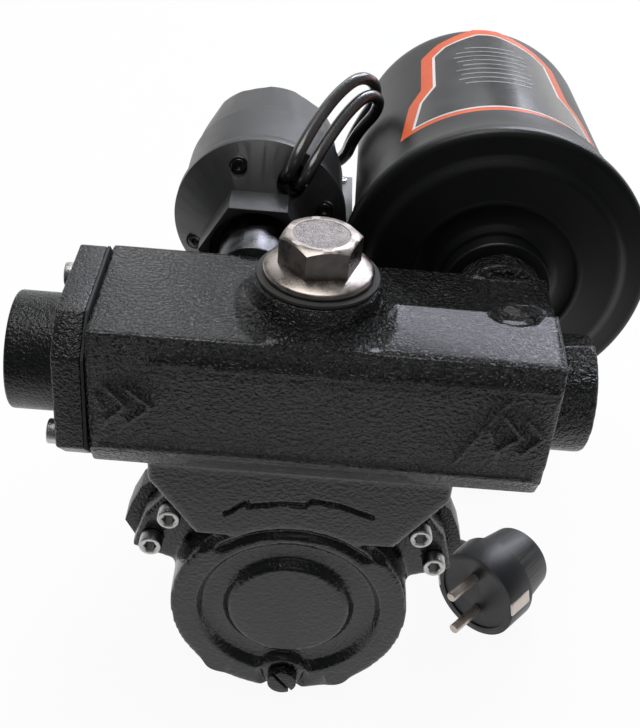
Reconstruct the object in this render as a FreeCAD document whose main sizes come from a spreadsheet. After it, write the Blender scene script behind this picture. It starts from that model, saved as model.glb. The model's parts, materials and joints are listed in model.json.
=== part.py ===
# Booster pump: a self-priming pump head with its motor, pressure tank, pressure
# switch and mains lead. Millimetres. X runs towards the discharge port, Y towards
# the motor's rear, Z up. The origin is the centre of the foot's bolt pattern, on
# the ground.
import FreeCAD
import Part
import Sketcher

import math
import os

doc = FreeCAD.newDocument("BoosterPump")

# Driving sizes, all in millimetres or degrees.
SIZES = {
    # Fits
    "fit": 0.05,                    # radial clearance of screws, rings and running fits
    "seat_gap": 0.3,                # a moving part at rest against its seat
    # Main places
    "port_rise": 110.3,             # port axis above the motor axis
    "housing_length": 176.0,
    "bracket_thickness": 12.0,
    # Valve chamber, a long box along X
    "casing_depth": 29.0,
    "box_overhang": 11.0,           # the chamber stands out in front of the casing
    "box_depth": 63.0,
    "box_left": 82.0,
    "box_right": 92.5,
    "box_rise": 34.7,               # top face above the port axis
    "box_drop": 29.3,               # floor below the port axis
    "box_chamfer": 10.5,
    "box_chamfer_setback": 5.0,
    "ridge_drop": 14.0,             # the upper front facet's height
    "ridge_swell": 2.5,             # how far the ridge stands forward
    "port_setback": 34.5,           # port axis behind the chamber's front
    "chamber_wall": 7.0,
    "partition_left": 40.0,         # right wall of the suction chamber
    "partition": 6.0,
    "channel_height": 7.0,
    "channel_roof": 5.0,
    # Web and pump casing
    "web_overhang": 3.0,            # the web stands this far in front of the casing
    "web_shoulder": 61.0,
    "web_waist": 41.0,
    "web_side": 11.0,
    "web_foot": 42.0,
    "casing_radius": 51.6,
    "face_ring_radius": 40.3,
    "face_groove_radius": 29.6,
    "face_disc_radius": 27.5,
    "face_relief": 2.5,
    "casing_front_wall": 5.0,
    "duct_depth": 8.0,
    "duct_width": 16.0,
    "eye_radius": 9.0,
    "chamber_radius": 40.0,
    "chamber_depth": 13.0,
    "outlet_duct_left": 24.0,
    "outlet_duct_width": 12.0,
    "outlet_duct_wall": 4.0,
    "lug_thickness": 13.0,
    "bulge_radius": 8.0,
    "bulge_reach": 45.0,
    # Threads and ports
    "port_thread_radius": 15.15,    # minor radius of a G1 female thread
    "port_boss_radius": 23.5,
    "discharge_boss_length": 18.0,
    "suction_boss_length": 21.5,
    "flange_thickness": 11.0,
    "flange_half_width": 36.5,
    "flange_rise": 36.2,
    "flange_drop": 31.3,
    "flange_chamfer": 13.0,
    "gasket_thickness": 1.0,
    "flange_screw_offset_y": 22.0,
    "flange_screw_offset_z": 22.5,
    "throat_radius": 11.5,
    "throat_length": 10.0,
    # Check valve
    "valve_bore_radius": 17.0,
    "cage_ring_wall": 2.4,
    "cage_ring_length": 6.0,
    "cage_length": 27.0,
    "cage_plate": 3.0,
    "cage_leg_radius": 1.6,
    "poppet_radius": 13.2,
    "poppet_thickness": 3.0,
    "poppet_stem_radius": 2.0,
    "poppet_stem_length": 30.0,
    "spring_wire": 0.8,
    "valve_spring_radius": 7.0,
    # Filler plug
    "plug_setback": 27.0,
    "plug_boss_radius": 24.0,
    "plug_boss_rise": 14.5,
    "plug_thread_radius": 13.2,
    "plug_shank": 14.5,
    "washer_radius": 23.0,
    "washer_thickness": 1.5,
    "plug_flange_radius": 20.6,
    "plug_flange": 4.6,
    "plug_hex_flats": 27.0,
    "plug_hex_height": 11.8,
    # Drain plug
    "drain_drop": 42.0,
    "drain_boss_radius": 9.0,
    "drain_thread_radius": 5.05,
    "drain_head_radius": 6.5,
    "drain_head": 4.5,
    "drain_shank": 11.0,
    "drain_slot": 1.6,
    # Socket head screws
    "pump_screw_circle": 65.0,
    "upper_screw_angle": 34.0,
    "lower_screw_angle": 18.0,
    "m6_head_radius": 5.0,
    "m6_head": 6.0,
    "m6_radius": 2.95,
    "m6_clearance_radius": 3.3,
    "m6_socket_radius": 2.9,
    "flange_screw_length": 24.0,
    "pump_screw_length": 22.0,
    # Motor bracket, seal and shaft
    "bracket_radius": 53.0,
    "ear_radius": 77.5,
    "bracket_boss_radius": 22.0,
    "bracket_boss_length": 18.0,
    "seal_pocket_radius": 14.0,
    "seal_pocket_depth": 11.5,
    "seal_seat_length": 5.5,
    "seal_head_radius": 12.5,
    "seal_face_gap": 0.1,
    "casing_seal_radius": 46.0,
    "casing_seal_width": 2.8,
    "casing_seal_thickness": 1.8,
    "shaft_hole_radius": 8.5,
    "impeller_seat_radius": 6.0,
    "seal_seat_radius": 7.0,
    "bearing_seat_radius": 7.5,
    "rotor_seat_radius": 10.0,
    "bearing_radius": 17.5,
    "bearing_width": 11.0,
    "bearing_race": 3.0,
    "ball_radius": 2.05,
    "impeller_radius": 36.0,
    "impeller_thickness": 10.0,
    "impeller_gap": 1.5,
    "vane_length": 7.0,
    "vane_thickness": 3.0,
    "nut_radius": 7.5,
    "nut_height": 5.0,
    # Motor
    "housing_radius": 50.0,
    "housing_bore": 44.0,
    "fin_radius": 54.0,
    "fin_thickness": 2.2,
    "stack_length": 70.0,
    "stator_bore": 25.0,
    "rotor_radius": 24.6,
    "slot_circle": 33.0,
    "slot_radius": 3.6,
    "winding_outer": 41.0,
    "winding_inner": 27.5,
    "winding_overhang": 16.0,
    "tie_circle": 57.0,
    "tie_angle": 45.0,
    "tie_boss_radius": 6.0,
    "tie_radius": 2.45,
    "tie_head_radius": 4.25,
    "tie_head": 5.5,
    "tie_depth": 8.0,
    "shield_thickness": 10.0,
    "shield_spigot": 7.0,
    "cover_radius": 52.0,
    "cover_wall": 1.7,
    "cover_length": 34.0,
    "cover_back": 2.0,
    "vent_inner": 12.0,
    "vent_length": 30.0,
    "vent_width": 4.0,
    "cover_screw_radius": 1.9,
    "cover_screw_head_radius": 3.4,
    "cover_screw_head": 2.0,
    "cover_screw_length": 8.0,
    "cover_screw_setback": 3.5,
    "fan_radius": 46.0,
    "fan_hub_radius": 12.0,
    "fan_length": 14.0,
    "fan_setback": 8.0,
    "fan_blade": 2.4,
    "shaft_tail": 26.0,
    # Foot
    "foot_rise": 10.0,              # ground up to the lowest of the housing
    "foot_half_width": 50.0,
    "foot_half_length": 62.0,
    "foot_thickness": 5.0,
    "foot_hole_radius": 4.5,
    "foot_pitch_x": 76.0,
    "foot_pitch_y": 100.0,
    "pad_half_width": 24.0,
    "pad_half_length": 58.0,
    "foot_screw_x": 14.0,
    "foot_screw_y": 40.0,
    "foot_screw_length": 11.0,
    # Terminal box
    "box_centre_x": -13.0,
    "terminal_half_width": 31.0,
    "terminal_setback": 48.0,       # box front, ahead of the housing's rear end
    "terminal_length": 54.0,
    "terminal_floor_rise": 57.0,    # above the motor axis
    "terminal_height": 38.5,
    "terminal_wall": 2.5,
    "lid_thickness": 3.0,
    "lid_screw_inset": 6.0,
    "lid_post_radius": 4.0,
    "lid_screw_radius": 1.6,
    "lid_screw_head_radius": 3.0,
    "lid_screw_head": 1.8,
    "lid_screw_length": 12.0,
    "capacitor_radius": 10.5,
    "capacitor_gap": 0.5,
    "gland_radius": 8.5,
    "gland_thread_radius": 6.0,
    "gland_length": 27.0,
    "gland_nut": 5.0,
    "gland_tail": 15.0,
    "gland_drop": 34.0,             # mains gland axis below the lid's top
    "gland_setback": 14.0,
    "lead_gland_x": 2.0,
    "lead_gland_setback": 28.0,     # ahead of the box's rear wall
    "lead_gland_height": 9.0,
    # Pressure tank
    "rear_port_drop": 12.0,         # rear port axes below the chamber's top
    "tank_side_gap": 3.3,           # between the switch and the tank's shell
    "tank_boss_radius": 18.5,
    "tank_boss_length": 7.0,
    "tank_thread_radius": 10.4,
    "tank_thread_length": 13.0,
    "tank_bore_radius": 7.0,
    "tank_collar_radius": 22.5,
    "tank_collar": 8.0,
    "tank_inlet_radius": 12.0,
    "tank_inlet_length": 7.0,
    "tank_face_gap": 2.0,
    "tank_rim_land": 13.5,          # from the front's step out to its rim
    "tank_step": 3.0,
    "tank_rim_radius": 65.5,
    "tank_rim": 5.0,
    "tank_flare": 34.0,
    "tank_rim_overlap": 6.0,        # rim beyond the shell
    "tank_draft": 3.0,              # taper of the shell over its length
    "tank_length": 160.0,
    "tank_dome": 20.0,
    "tank_wall": 1.5,
    "membrane_side_gap": 7.5,       # between the bag and the shell
    "membrane_end_gap": 28.0,       # between the bag and the dome
    "membrane_round": 20.0,
    "membrane_shoulder": 34.0,
    "membrane_wall": 2.0,
    "air_valve_radius": 4.0,
    "air_valve_length": 12.0,
    "air_cap_radius": 5.5,
    "air_cap_wall": 1.2,
    # Pressure switch
    "switch_x": -26.0,
    "switch_thread_radius": 8.35,
    "nipple_radius": 15.3,
    "nipple_length": 37.0,
    "nipple_bore_radius": 5.0,
    "nut_setback": 21.0,
    "union_flats": 42.0,
    "union_length": 16.0,
    "union_mouth_radius": 19.5,
    "union_mouth": 7.0,
    "switch_wall": 3.0,
    "switch_neck_radius": 19.0,
    "switch_radius": 38.0,
    "switch_cone": 15.0,
    "switch_rim": 5.0,
    "cap_radius": 36.5,
    "cap_end_radius": 33.0,
    "cap_length": 69.0,
    "cap_step": 35.0,
    "switch_screw_circle": 29.5,
    "switch_screw_angle": 20.0,     # first of four, turned from +X
    "switch_screw_radius": 1.9,
    "switch_screw_head_radius": 3.4,
    "diaphragm_radius": 21.0,
    "diaphragm_thickness": 1.5,
    "plunger_radius": 3.0,
    "plunger_plate_radius": 14.0,
    "plunger_plate": 3.0,
    "plunger_length": 26.0,
    "switch_spring_radius": 9.0,
    "switch_spring_wire": 1.2,
    "contact_width": 30.0,
    "contact_height": 24.0,
    "contact_length": 14.0,
    # Leads and mains plug
    "lead_radius": 2.75,
    "lead_seat": 10.0,              # lead end, behind the switch base's front
    "cord_radius": 3.5,
    "coil_radius": 39.0,            # middle of the coil's turns
    "coil_x": 107.0,
    "coil_setback": 4.0,            # ahead of the housing's rear end
    "coil_turns_high": 3.0,
    "coil_turns_wide": 2.0,
    "tie_strap_width": 5.0,
    "tie_strap_thickness": 1.2,
    "plug_x": 92.0,
    "plug_y": -78.0,
    "plug_turn": 48.4,              # pins turned from -X towards -Y
    "plug_roll": 15.0,
    "plug_radius": 23.0,
    "plug_front_depth": 17.0,
    "plug_back_radius": 20.0,
    "plug_depth": 38.0,
    "plug_arm_radius": 9.0,
    "plug_arm_reach": 27.0,
    "boot_length": 22.0,
    "boot_radius": 7.0,
    "boot_end_radius": 5.0,
    "pin_radius": 2.4,
    "pin_length": 19.0,
    "pin_pitch": 19.0,
    "clip_width": 7.0,
    "clip_thickness": 1.2,
    "clip_length": 15.0,
}

sheet = doc.addObject("Spreadsheet::Sheet", "Sizes")
for row, (alias, amount) in enumerate(SIZES.items(), start=1):
    sheet.set(f"A{row}", alias)
    sheet.set(f"B{row}", str(amount))
    sheet.setAlias(f"B{row}", alias)
doc.recompute()


class Size:
    """A number together with the sheet expression that gives it."""

    def __init__(self, value, text):
        self.value = value
        self.text = text

    def __add__(self, other):
        other = as_size(other)
        return Size(self.value + other.value, f"({self.text} + {other.text})")

    def __sub__(self, other):
        other = as_size(other)
        return Size(self.value - other.value, f"({self.text} - {other.text})")

    def __mul__(self, other):
        other = as_size(other)
        return Size(self.value * other.value, f"({self.text} * {other.text})")

    def __truediv__(self, other):
        other = as_size(other)
        return Size(self.value / other.value, f"({self.text} / {other.text})")

    def __neg__(self):
        return Size(-self.value, f"(-1 * {self.text})")

    __radd__ = __add__
    __rmul__ = __mul__


def as_size(number):
    """A Size stays as it is; a plain number becomes one."""
    if isinstance(number, Size):
        return number
    return Size(float(number), repr(float(number)))


def cosine(angle):
    angle = as_size(angle)
    return Size(math.cos(math.radians(angle.value)), f"cos({angle.text})")


def sine(angle):
    angle = as_size(angle)
    return Size(math.sin(math.radians(angle.value)), f"sin({angle.text})")


class Values:
    """Reads a cell of the sheet by its alias."""

    def __getattr__(self, alias):
        return Size(float(sheet.get(alias)), f"Sizes.{alias}")


S = Values()
ZERO = as_size(0)

# Turns that lay a piece's own Z axis along a row axis.
ALONG = {
    "x": FreeCAD.Rotation(FreeCAD.Vector(0, 1, 0), 90),
    "y": FreeCAD.Rotation(FreeCAD.Vector(1, 0, 0), -90),
    "z": FreeCAD.Rotation(),
    "-x": FreeCAD.Rotation(FreeCAD.Vector(0, 1, 0), -90),
    "-y": FreeCAD.Rotation(FreeCAD.Vector(1, 0, 0), 90),
}

nodes = []


def bind(obj, path, size):
    """Ties one property to its expression."""
    obj.setExpression(path, as_size(size).text)


def put(obj, place, turn=None):
    """Turns an object and ties its place to the sheet."""
    if turn is not None:
        obj.Placement = FreeCAD.Placement(FreeCAD.Vector(), turn)
    for letter, size in zip("xyz", place):
        if as_size(size).text != ZERO.text:
            bind(obj, f"Placement.Base.{letter}", size)
    return obj


def node(obj, name):
    """Marks a finished piece: its Label names its file."""
    obj.Label = name
    nodes.append(obj)
    return obj


def point(along, distance, across):
    """A point in X, Y, Z order from its place along an axis and the other two."""
    place = list(across)
    place.insert("xyz".index(along[-1]), distance)
    return tuple(place)


def rod(along, start, end, across, radius):
    """A cylinder along a row axis."""
    obj = doc.addObject("Part::Cylinder", "Rod")
    bind(obj, "Radius", radius)
    bind(obj, "Height", as_size(end) - start)
    return put(obj, point(along, start, across), ALONG[along])


def taper(along, start, end, across, start_radius, end_radius):
    """A cone's frustum along a row axis."""
    obj = doc.addObject("Part::Cone", "Taper")
    bind(obj, "Radius1", start_radius)
    bind(obj, "Radius2", end_radius)
    bind(obj, "Height", as_size(end) - start)
    return put(obj, point(along, start, across), ALONG[along])


def hexagon(along, start, end, across, flats):
    """A hexagonal prism along a row axis, sized across its flats."""
    obj = doc.addObject("Part::Prism", "Hexagon")
    obj.Polygon = 6
    bind(obj, "Circumradius", as_size(flats) / math.sqrt(3))
    bind(obj, "Height", as_size(end) - start)
    return put(obj, point(along, start, across), ALONG[along])


def block(low, high):
    """A box between two corners."""
    obj = doc.addObject("Part::Box", "Block")
    for side, lower, upper in zip(("Length", "Width", "Height"), low, high):
        bind(obj, side, as_size(upper) - lower)
    return put(obj, low)


def fuse(*shapes):
    if len(shapes) == 1:
        return shapes[0]
    obj = doc.addObject("Part::MultiFuse", "Joined")
    obj.Shapes = list(shapes)
    obj.Refine = True
    return obj


def cut(base, *tools):
    obj = doc.addObject("Part::Cut", "Cut")
    obj.Base = base
    obj.Tool = fuse(*tools)
    obj.Refine = True
    return obj


def group(*shapes):
    """Separate solids kept in one piece, such as a set of screws."""
    obj = doc.addObject("Part::Compound", "Group")
    obj.Links = list(shapes)
    return obj


def tube(along, start, end, across, outer, inner):
    return cut(rod(along, start, end, across, outer), rod(along, start, end, across, inner))


def draw(sketch, loops):
    """Closed outlines of straight lines, or circles, each corner tied to the sheet."""
    def pin(geometry, vertex, corner):
        for axis, kind, size in ((-2, "DistanceX", corner[0]), (-1, "DistanceY", corner[1])):
            size = as_size(size)
            if size.text == ZERO.text:
                sketch.addConstraint(Sketch("PointOnObject", geometry, vertex, axis))
            else:
                index = sketch.addConstraint(Sketch(kind, -1, 1, geometry, vertex, size.value))
                bind(sketch, f"Constraints[{index}]", size)

    for loop in loops:
        if isinstance(loop[0], str):
            centre, radius = loop[1:3], as_size(loop[3])
            middle = FreeCAD.Vector(as_size(centre[0]).value, as_size(centre[1]).value, 0)
            circle = Part.Circle(middle, FreeCAD.Vector(0, 0, 1), radius.value)
            geometry = sketch.addGeometry(circle, False)
            pin(geometry, 3, centre)
            index = sketch.addConstraint(Sketch("Radius", geometry, radius.value))
            bind(sketch, f"Constraints[{index}]", radius)
            continue
        corners = [FreeCAD.Vector(as_size(a).value, as_size(b).value, 0) for a, b in loop]
        lines = []
        for index, corner in enumerate(corners):
            line = Part.LineSegment(corner, corners[(index + 1) % len(corners)])
            lines.append(sketch.addGeometry(line, False))
        for index, line in enumerate(lines):
            sketch.addConstraint(Sketch("Coincident", line, 2, lines[(index + 1) % len(lines)], 1))
            pin(line, 1, loop[index])



Sketch = Sketcher.Constraint


def new_sketch(body, plane, loops):
    sketch = body.newObject("Sketcher::SketchObject", "Outline")
    role = next(feature for feature in body.Origin.OriginFeatures if feature.Role == plane)
    sketch.AttachmentSupport = [(role, "")]
    sketch.MapMode = "FlatFace"
    draw(sketch, loops)
    return sketch


def extruded(along, start, length, loops):
    """A padded outline. Its corners are (Y, Z) along x, (X, Z) along y, (X, Y) along z."""
    body = doc.addObject("PartDesign::Body", "Body")
    plane = {"x": "YZ_Plane", "y": "XZ_Plane", "z": "XY_Plane"}[along]
    pad = body.newObject("PartDesign::Pad", "Pad")
    pad.Profile = new_sketch(body, plane, loops)
    bind(pad, "Length", length)
    pad.Reversed = along == "y"
    return put(body, point(along, start, (0, 0)))


def turned(along, start, across, outline):
    """A revolved outline of (radius, distance) corners about a row axis."""
    body = doc.addObject("PartDesign::Body", "Body")
    sketch = new_sketch(body, "XZ_Plane", [outline])
    revolution = body.newObject("PartDesign::Revolution", "Revolution")
    revolution.Profile = sketch
    revolution.ReferenceAxis = (sketch, ["V_Axis"])
    revolution.Angle = 360
    return put(body, point(along, start, across), ALONG[along])


def spoked(along, start, across, length, core, spoke, count, cut_out=False):
    """A padded core with spokes, blades or slots set round it at even angles."""
    body = doc.addObject("PartDesign::Body", "Body")
    pad = body.newObject("PartDesign::Pad", "Pad")
    pad.Profile = new_sketch(body, "XY_Plane", core)
    bind(pad, "Length", length)
    inner, outer, width = (as_size(value) for value in spoke)
    half = width / 2
    outline = [(inner, -half), (outer, -half), (outer, half), (inner, half)]
    sketch = new_sketch(body, "XY_Plane", [outline])
    feature = body.newObject("PartDesign::Pocket" if cut_out else "PartDesign::Pad", "Spoke")
    feature.Profile = sketch
    bind(feature, "Length", length)
    feature.Reversed = cut_out
    pattern = body.newObject("PartDesign::PolarPattern", "Pattern")
    pattern.Originals = [feature]
    pattern.Axis = (sketch, ["N_Axis"])
    pattern.Angle = 360
    pattern.Occurrences = count
    body.Tip = pattern
    return put(body, point(along, start, across), ALONG[along])


def cap_screw(along, seat, across, head_radius, head, radius, length, socket_radius, sign=1):
    """A socket head screw; sign is 1 where it is driven along the axis, -1 against it."""
    def span(first, last):
        first, last = as_size(seat) + sign * first, as_size(seat) + sign * last
        return (first, last) if sign > 0 else (last, first)

    top = span(-as_size(head), ZERO)
    shank = span(ZERO, as_size(length))
    hollow = span(-as_size(head), -0.5 * as_size(head))
    body = fuse(rod(along, *top, across, head_radius), rod(along, *shank, across, radius))
    return cut(body, hexagon(along, *hollow, across, as_size(socket_radius) * math.sqrt(3)))


def polar(radius, angle, centre=(ZERO, ZERO)):
    """A point round a centre, angles counted from the first axis."""
    return (centre[0] + as_size(radius) * cosine(angle), centre[1] + as_size(radius) * sine(angle))


def spring(along, start, length, across, radius, wire, turns):
    """A coil spring of round wire, its sizes read from the sheet."""
    pitch = (length.value - 2 * wire.value) / turns
    helix = Part.makeHelix(pitch, pitch * turns, radius.value)
    section = Part.Wire(Part.makeCircle(wire.value, FreeCAD.Vector(radius.value, 0, 0),
                                        FreeCAD.Vector(0, 1, 0)))
    coil = Part.Wire(helix).makePipeShell([section], True, True)
    obj = doc.addObject("Part::Feature", "Spring")
    obj.Shape = coil
    place = [as_size(size).value for size in point(along, start + wire, across)]
    obj.Placement = FreeCAD.Placement(FreeCAD.Vector(*place), ALONG[along])
    return obj


# Planes and axes that several pieces share.
joint = -(S.housing_length / 2 + S.bracket_thickness)
housing_front = -(S.housing_length / 2)
housing_rear = S.housing_length / 2
casing_front = joint - S.casing_depth
box_front = casing_front - S.box_overhang
box_rear = box_front + S.box_depth
port_y = box_front + S.port_setback
shaft_height = S.housing_radius + S.foot_rise
port_z = shaft_height + S.port_rise
box_top = port_z + S.box_rise
box_floor = port_z - S.box_drop
axis = (ZERO, shaft_height)
port = (port_y, port_z)
rear_port_z = box_top - S.rear_port_drop
tank_radius = S.tank_rim_radius - S.tank_rim_overlap
tank_x = S.switch_x + S.switch_radius + S.tank_side_gap + tank_radius
tank_axis = (tank_x, rear_port_z)
switch_axis = (S.switch_x, rear_port_z)
plug_y = box_front + S.plug_setback
plug_axis = (ZERO, plug_y)
drain_z = shaft_height - S.drain_drop
chamber_front = joint - S.chamber_depth
duct_front = casing_front + S.casing_front_wall
suction_end = -S.box_left
flange_face = suction_end - S.gasket_thickness
screw_angles = (S.upper_screw_angle, S.lower_screw_angle, 180 - S.lower_screw_angle.value,
                180 - S.upper_screw_angle.value)


def mirrored(points):
    """The same outline on the other side of the motor axis."""
    return [(-a, b) for a, b in reversed(points)]


def round_axis(corners):
    """Corners given as radius and angle about the motor axis."""
    return [polar(radius, angle, axis) for radius, angle in corners]


def pump_screw_places():
    places = []
    for angle in (S.upper_screw_angle, S.lower_screw_angle):
        right = polar(S.pump_screw_circle, angle, axis)
        places.append(right)
        places.append((-right[0], right[1]))
    return places


def flange_screw_places():
    return [(port_y + S.flange_screw_offset_y, port_z + S.flange_screw_offset_z),
            (port_y - S.flange_screw_offset_y, port_z - S.flange_screw_offset_z)]


# Pump head

def make_pump_body():
    top, low = box_top, box_floor
    profile = [
        (box_front, top),
        (box_rear, top),
        (box_rear, low + S.box_chamfer),
        (box_rear - S.box_chamfer, low),
        (box_front + S.box_chamfer_setback, low),
        (box_front - 1, low + S.box_chamfer),
        (box_front - S.ridge_swell, top - S.ridge_drop),
    ]
    chamber = extruded("x", suction_end, S.box_left + S.box_right, [profile])
    web_front = casing_front - S.web_overhang
    side = [(S.web_shoulder, low - S.web_side), (S.web_waist, shaft_height + S.web_foot)]
    web_outline = [(-S.web_shoulder, low + 5), (S.web_shoulder, low + 5)] + side + mirrored(side)
    web = extruded("y", web_front, joint - web_front, [web_outline])
    casing = rod("y", casing_front, joint, axis, S.casing_radius)
    ring = rod("y", casing_front - S.face_relief, casing_front + 1, axis, S.face_ring_radius)
    lug = round_axis([(46, 6), (72, 11), (73, 26), (72, 41), (50, 52), (40, 30)])
    lugs = [extruded("y", joint - S.lug_thickness, S.lug_thickness, [outline])
            for outline in (lug, mirrored(lug))]
    bulges = [rod("y", casing_front - S.face_relief, joint, polar(S.bulge_reach, angle, axis),
                  S.bulge_radius)
              for angle in (231, 300)]
    plug_boss = rod("z", box_top - 2, box_top + S.plug_boss_rise, plug_axis, S.plug_boss_radius)
    discharge = rod("x", S.box_right - 3, S.box_right + S.discharge_boss_length, port, S.port_boss_radius)
    tank_boss = rod("y", box_rear - 4, box_rear + S.tank_boss_length, tank_axis, S.tank_boss_radius)
    drain_at = (ZERO, drain_z)
    drain_boss = rod("y", web_front, casing_front + 2, drain_at, S.drain_boss_radius)
    solid = fuse(chamber, web, casing, ring, *lugs, *bulges, plug_boss, discharge, tank_boss, drain_boss)

    wall = S.chamber_wall
    room_front, room_rear = box_front + wall, box_rear - wall
    room_top, room_floor = box_top - wall, box_floor + wall
    left_room = block(
        (suction_end + wall - 1, port_y - S.valve_bore_radius, room_floor),
        (-S.partition_left, port_y + S.valve_bore_radius, room_top))
    right_floor = room_floor + S.channel_height + S.channel_roof
    right_room = block(
        (-S.partition_left + S.partition, room_front, right_floor),
        (S.box_right - wall, room_rear, room_top))
    duct_rear = duct_front + S.duct_depth
    channel = block(
        (-S.partition_left - 1, duct_front, room_floor),
        (ZERO, duct_rear, room_floor + S.channel_height))
    inlet_duct = block(
        (-S.duct_width, duct_front, shaft_height),
        (ZERO, duct_rear, room_floor + S.channel_height))
    outlet_duct = block(
        (S.outlet_duct_left, chamber_front, shaft_height + 20),
        (S.outlet_duct_left + S.outlet_duct_width, joint - S.outlet_duct_wall, right_floor + 1))
    cuts = [
        left_room, right_room, channel, inlet_duct, outlet_duct,
        rod("y", duct_front, chamber_front + 1, axis, S.eye_radius),
        rod("y", chamber_front, joint + 1, axis, S.chamber_radius),
        rod("x", suction_end - 1, suction_end + wall, port, S.valve_bore_radius),
        rod("x", S.box_right - wall - 1, S.box_right + S.discharge_boss_length + 1, port,
            S.port_thread_radius),
        rod("z", room_top - 1, box_top + S.plug_boss_rise + 1, plug_axis, S.plug_thread_radius),
        rod("y", room_rear - 1, box_rear + S.tank_boss_length + 1, tank_axis, S.tank_thread_radius),
        rod("y", room_rear - 1, box_rear + 1, switch_axis, S.switch_thread_radius),
        rod("y", web_front - 1, chamber_front + 6, drain_at, S.drain_thread_radius),
        cut(rod("y", casing_front - S.face_relief - 1, casing_front + 1.5, axis, S.face_groove_radius),
            rod("y", casing_front - S.face_relief - 1, casing_front + 1.5, axis, S.face_disc_radius)),
    ]
    cuts += [rod("y", joint - S.lug_thickness - 1, joint + 1, at, S.m6_clearance_radius)
             for at in pump_screw_places()]
    cuts += [rod("x", suction_end - 1, suction_end + S.flange_screw_length - S.flange_thickness, at,
                 S.m6_radius + S.fit) for at in flange_screw_places()]
    return node(cut(solid, *cuts), "pump_body")


def flange_outline():
    front, rear = port_y - S.flange_half_width, port_y + S.flange_half_width
    low, top = port_z - S.flange_drop, port_z + S.flange_rise
    trim = S.flange_chamfer
    return [(front + trim, low), (rear - trim, low), (rear, low + trim), (rear, top - trim),
            (rear - trim, top), (front + trim, top), (front, top - trim), (front, low + trim)]


def make_suction_flange():
    plate_end = flange_face - S.flange_thickness
    plate = extruded("x", plate_end, S.flange_thickness, [flange_outline()])
    mouth = plate_end - S.suction_boss_length
    boss = rod("x", mouth, plate_end + 1, port, S.port_boss_radius)
    holes = [rod("x", plate_end - 1, flange_face + 1, at, S.m6_clearance_radius)
             for at in flange_screw_places()]
    thread = rod("x", mouth - 1, flange_face - S.throat_length, port, S.port_thread_radius)
    throat = rod("x", mouth, flange_face + 1, port, S.throat_radius)
    node(cut(fuse(plate, boss), thread, throat, *holes), "suction_flange")
    holes = [("circle", *at, S.m6_clearance_radius) for at in flange_screw_places()]
    mouth_hole = ("circle", *port, S.valve_bore_radius)
    node(extruded("x", flange_face, S.gasket_thickness, [flange_outline(), mouth_hole] + holes),
         "suction_gasket")
    screws = [cap_screw("x", plate_end, at, S.m6_head_radius, S.m6_head, S.m6_radius, S.flange_screw_length,
                        S.m6_socket_radius) for at in flange_screw_places()]
    node(group(*screws), "flange_screws")


def make_check_valve():
    start = suction_end
    outer = S.valve_bore_radius - S.fit
    ring = tube("x", start, start + S.cage_ring_length, port, outer, outer - S.cage_ring_wall)
    plate_start = start + S.cage_length - S.cage_plate
    plate = rod("x", plate_start, start + S.cage_length, port, outer)
    leg_circle = outer - S.cage_leg_radius - 0.3
    legs = [rod("x", start + 2, plate_start + 1, polar(leg_circle, angle, port), S.cage_leg_radius)
            for angle in (30, 150, 270)]
    windows = [rod("x", plate_start - 1, start + S.cage_length + 1, polar(10, angle, port), 3.5)
               for angle in (90, 210, 330)]
    guide = rod("x", plate_start - 1, start + S.cage_length + 1, port, S.poppet_stem_radius + 2 * S.fit)
    node(cut(fuse(ring, plate, *legs), guide, *windows), "check_valve_cage")
    face = flange_face + S.seat_gap
    disc_end = face + S.poppet_thickness
    disc = rod("x", face, disc_end, port, S.poppet_radius)
    stem = rod("x", disc_end - 1, disc_end + S.poppet_stem_length, port, S.poppet_stem_radius)
    node(fuse(disc, stem), "check_valve_poppet")
    length = plate_start - disc_end
    node(spring("x", disc_end, length, port, S.valve_spring_radius, S.spring_wire, 4), "check_valve_spring")


def make_filler_plug():
    seat = box_top + S.plug_boss_rise
    under = seat + S.washer_thickness
    node(tube("z", seat, under, plug_axis, S.washer_radius, S.plug_thread_radius + 0.5), "filler_washer")
    top = under + S.plug_flange
    flange = rod("z", under, top, plug_axis, S.plug_flange_radius)
    head = hexagon("z", top, top + S.plug_hex_height, plug_axis, S.plug_hex_flats)
    shank = rod("z", under - S.plug_shank, under, plug_axis, S.plug_thread_radius - S.fit)
    hollow = rod("z", under - S.plug_shank - 1, under - 3, plug_axis, S.plug_thread_radius - 4)
    node(cut(fuse(flange, head, shank), hollow), "filler_plug")


def make_drain_plug():
    at = (ZERO, drain_z)
    seat = casing_front - S.web_overhang
    head = rod("y", seat - S.drain_head, seat, at, S.drain_head_radius)
    shank = rod("y", seat, seat + S.drain_shank, at, S.drain_thread_radius - S.fit)
    slot = block((-S.drain_slot / 2, seat - S.drain_head - 1, drain_z - S.drain_head_radius - 1),
                 (S.drain_slot / 2, seat - S.drain_head + 2, drain_z + S.drain_head_radius + 1))
    node(cut(fuse(head, shank), slot), "drain_plug")


def make_casing_screws():
    screws = [cap_screw("y", joint - S.lug_thickness, at, S.m6_head_radius, S.m6_head, S.m6_radius,
                        S.pump_screw_length, S.m6_socket_radius) for at in pump_screw_places()]
    node(group(*screws), "casing_screws")


# Rotor

bearing_front = housing_front + S.bracket_boss_length - S.bearing_width
bearing_rear = -bearing_front - S.bearing_width
shaft_front = chamber_front + S.impeller_gap - S.nut_height - 1
impeller_front = chamber_front + S.impeller_gap
impeller_rear = impeller_front + S.impeller_thickness


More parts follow.
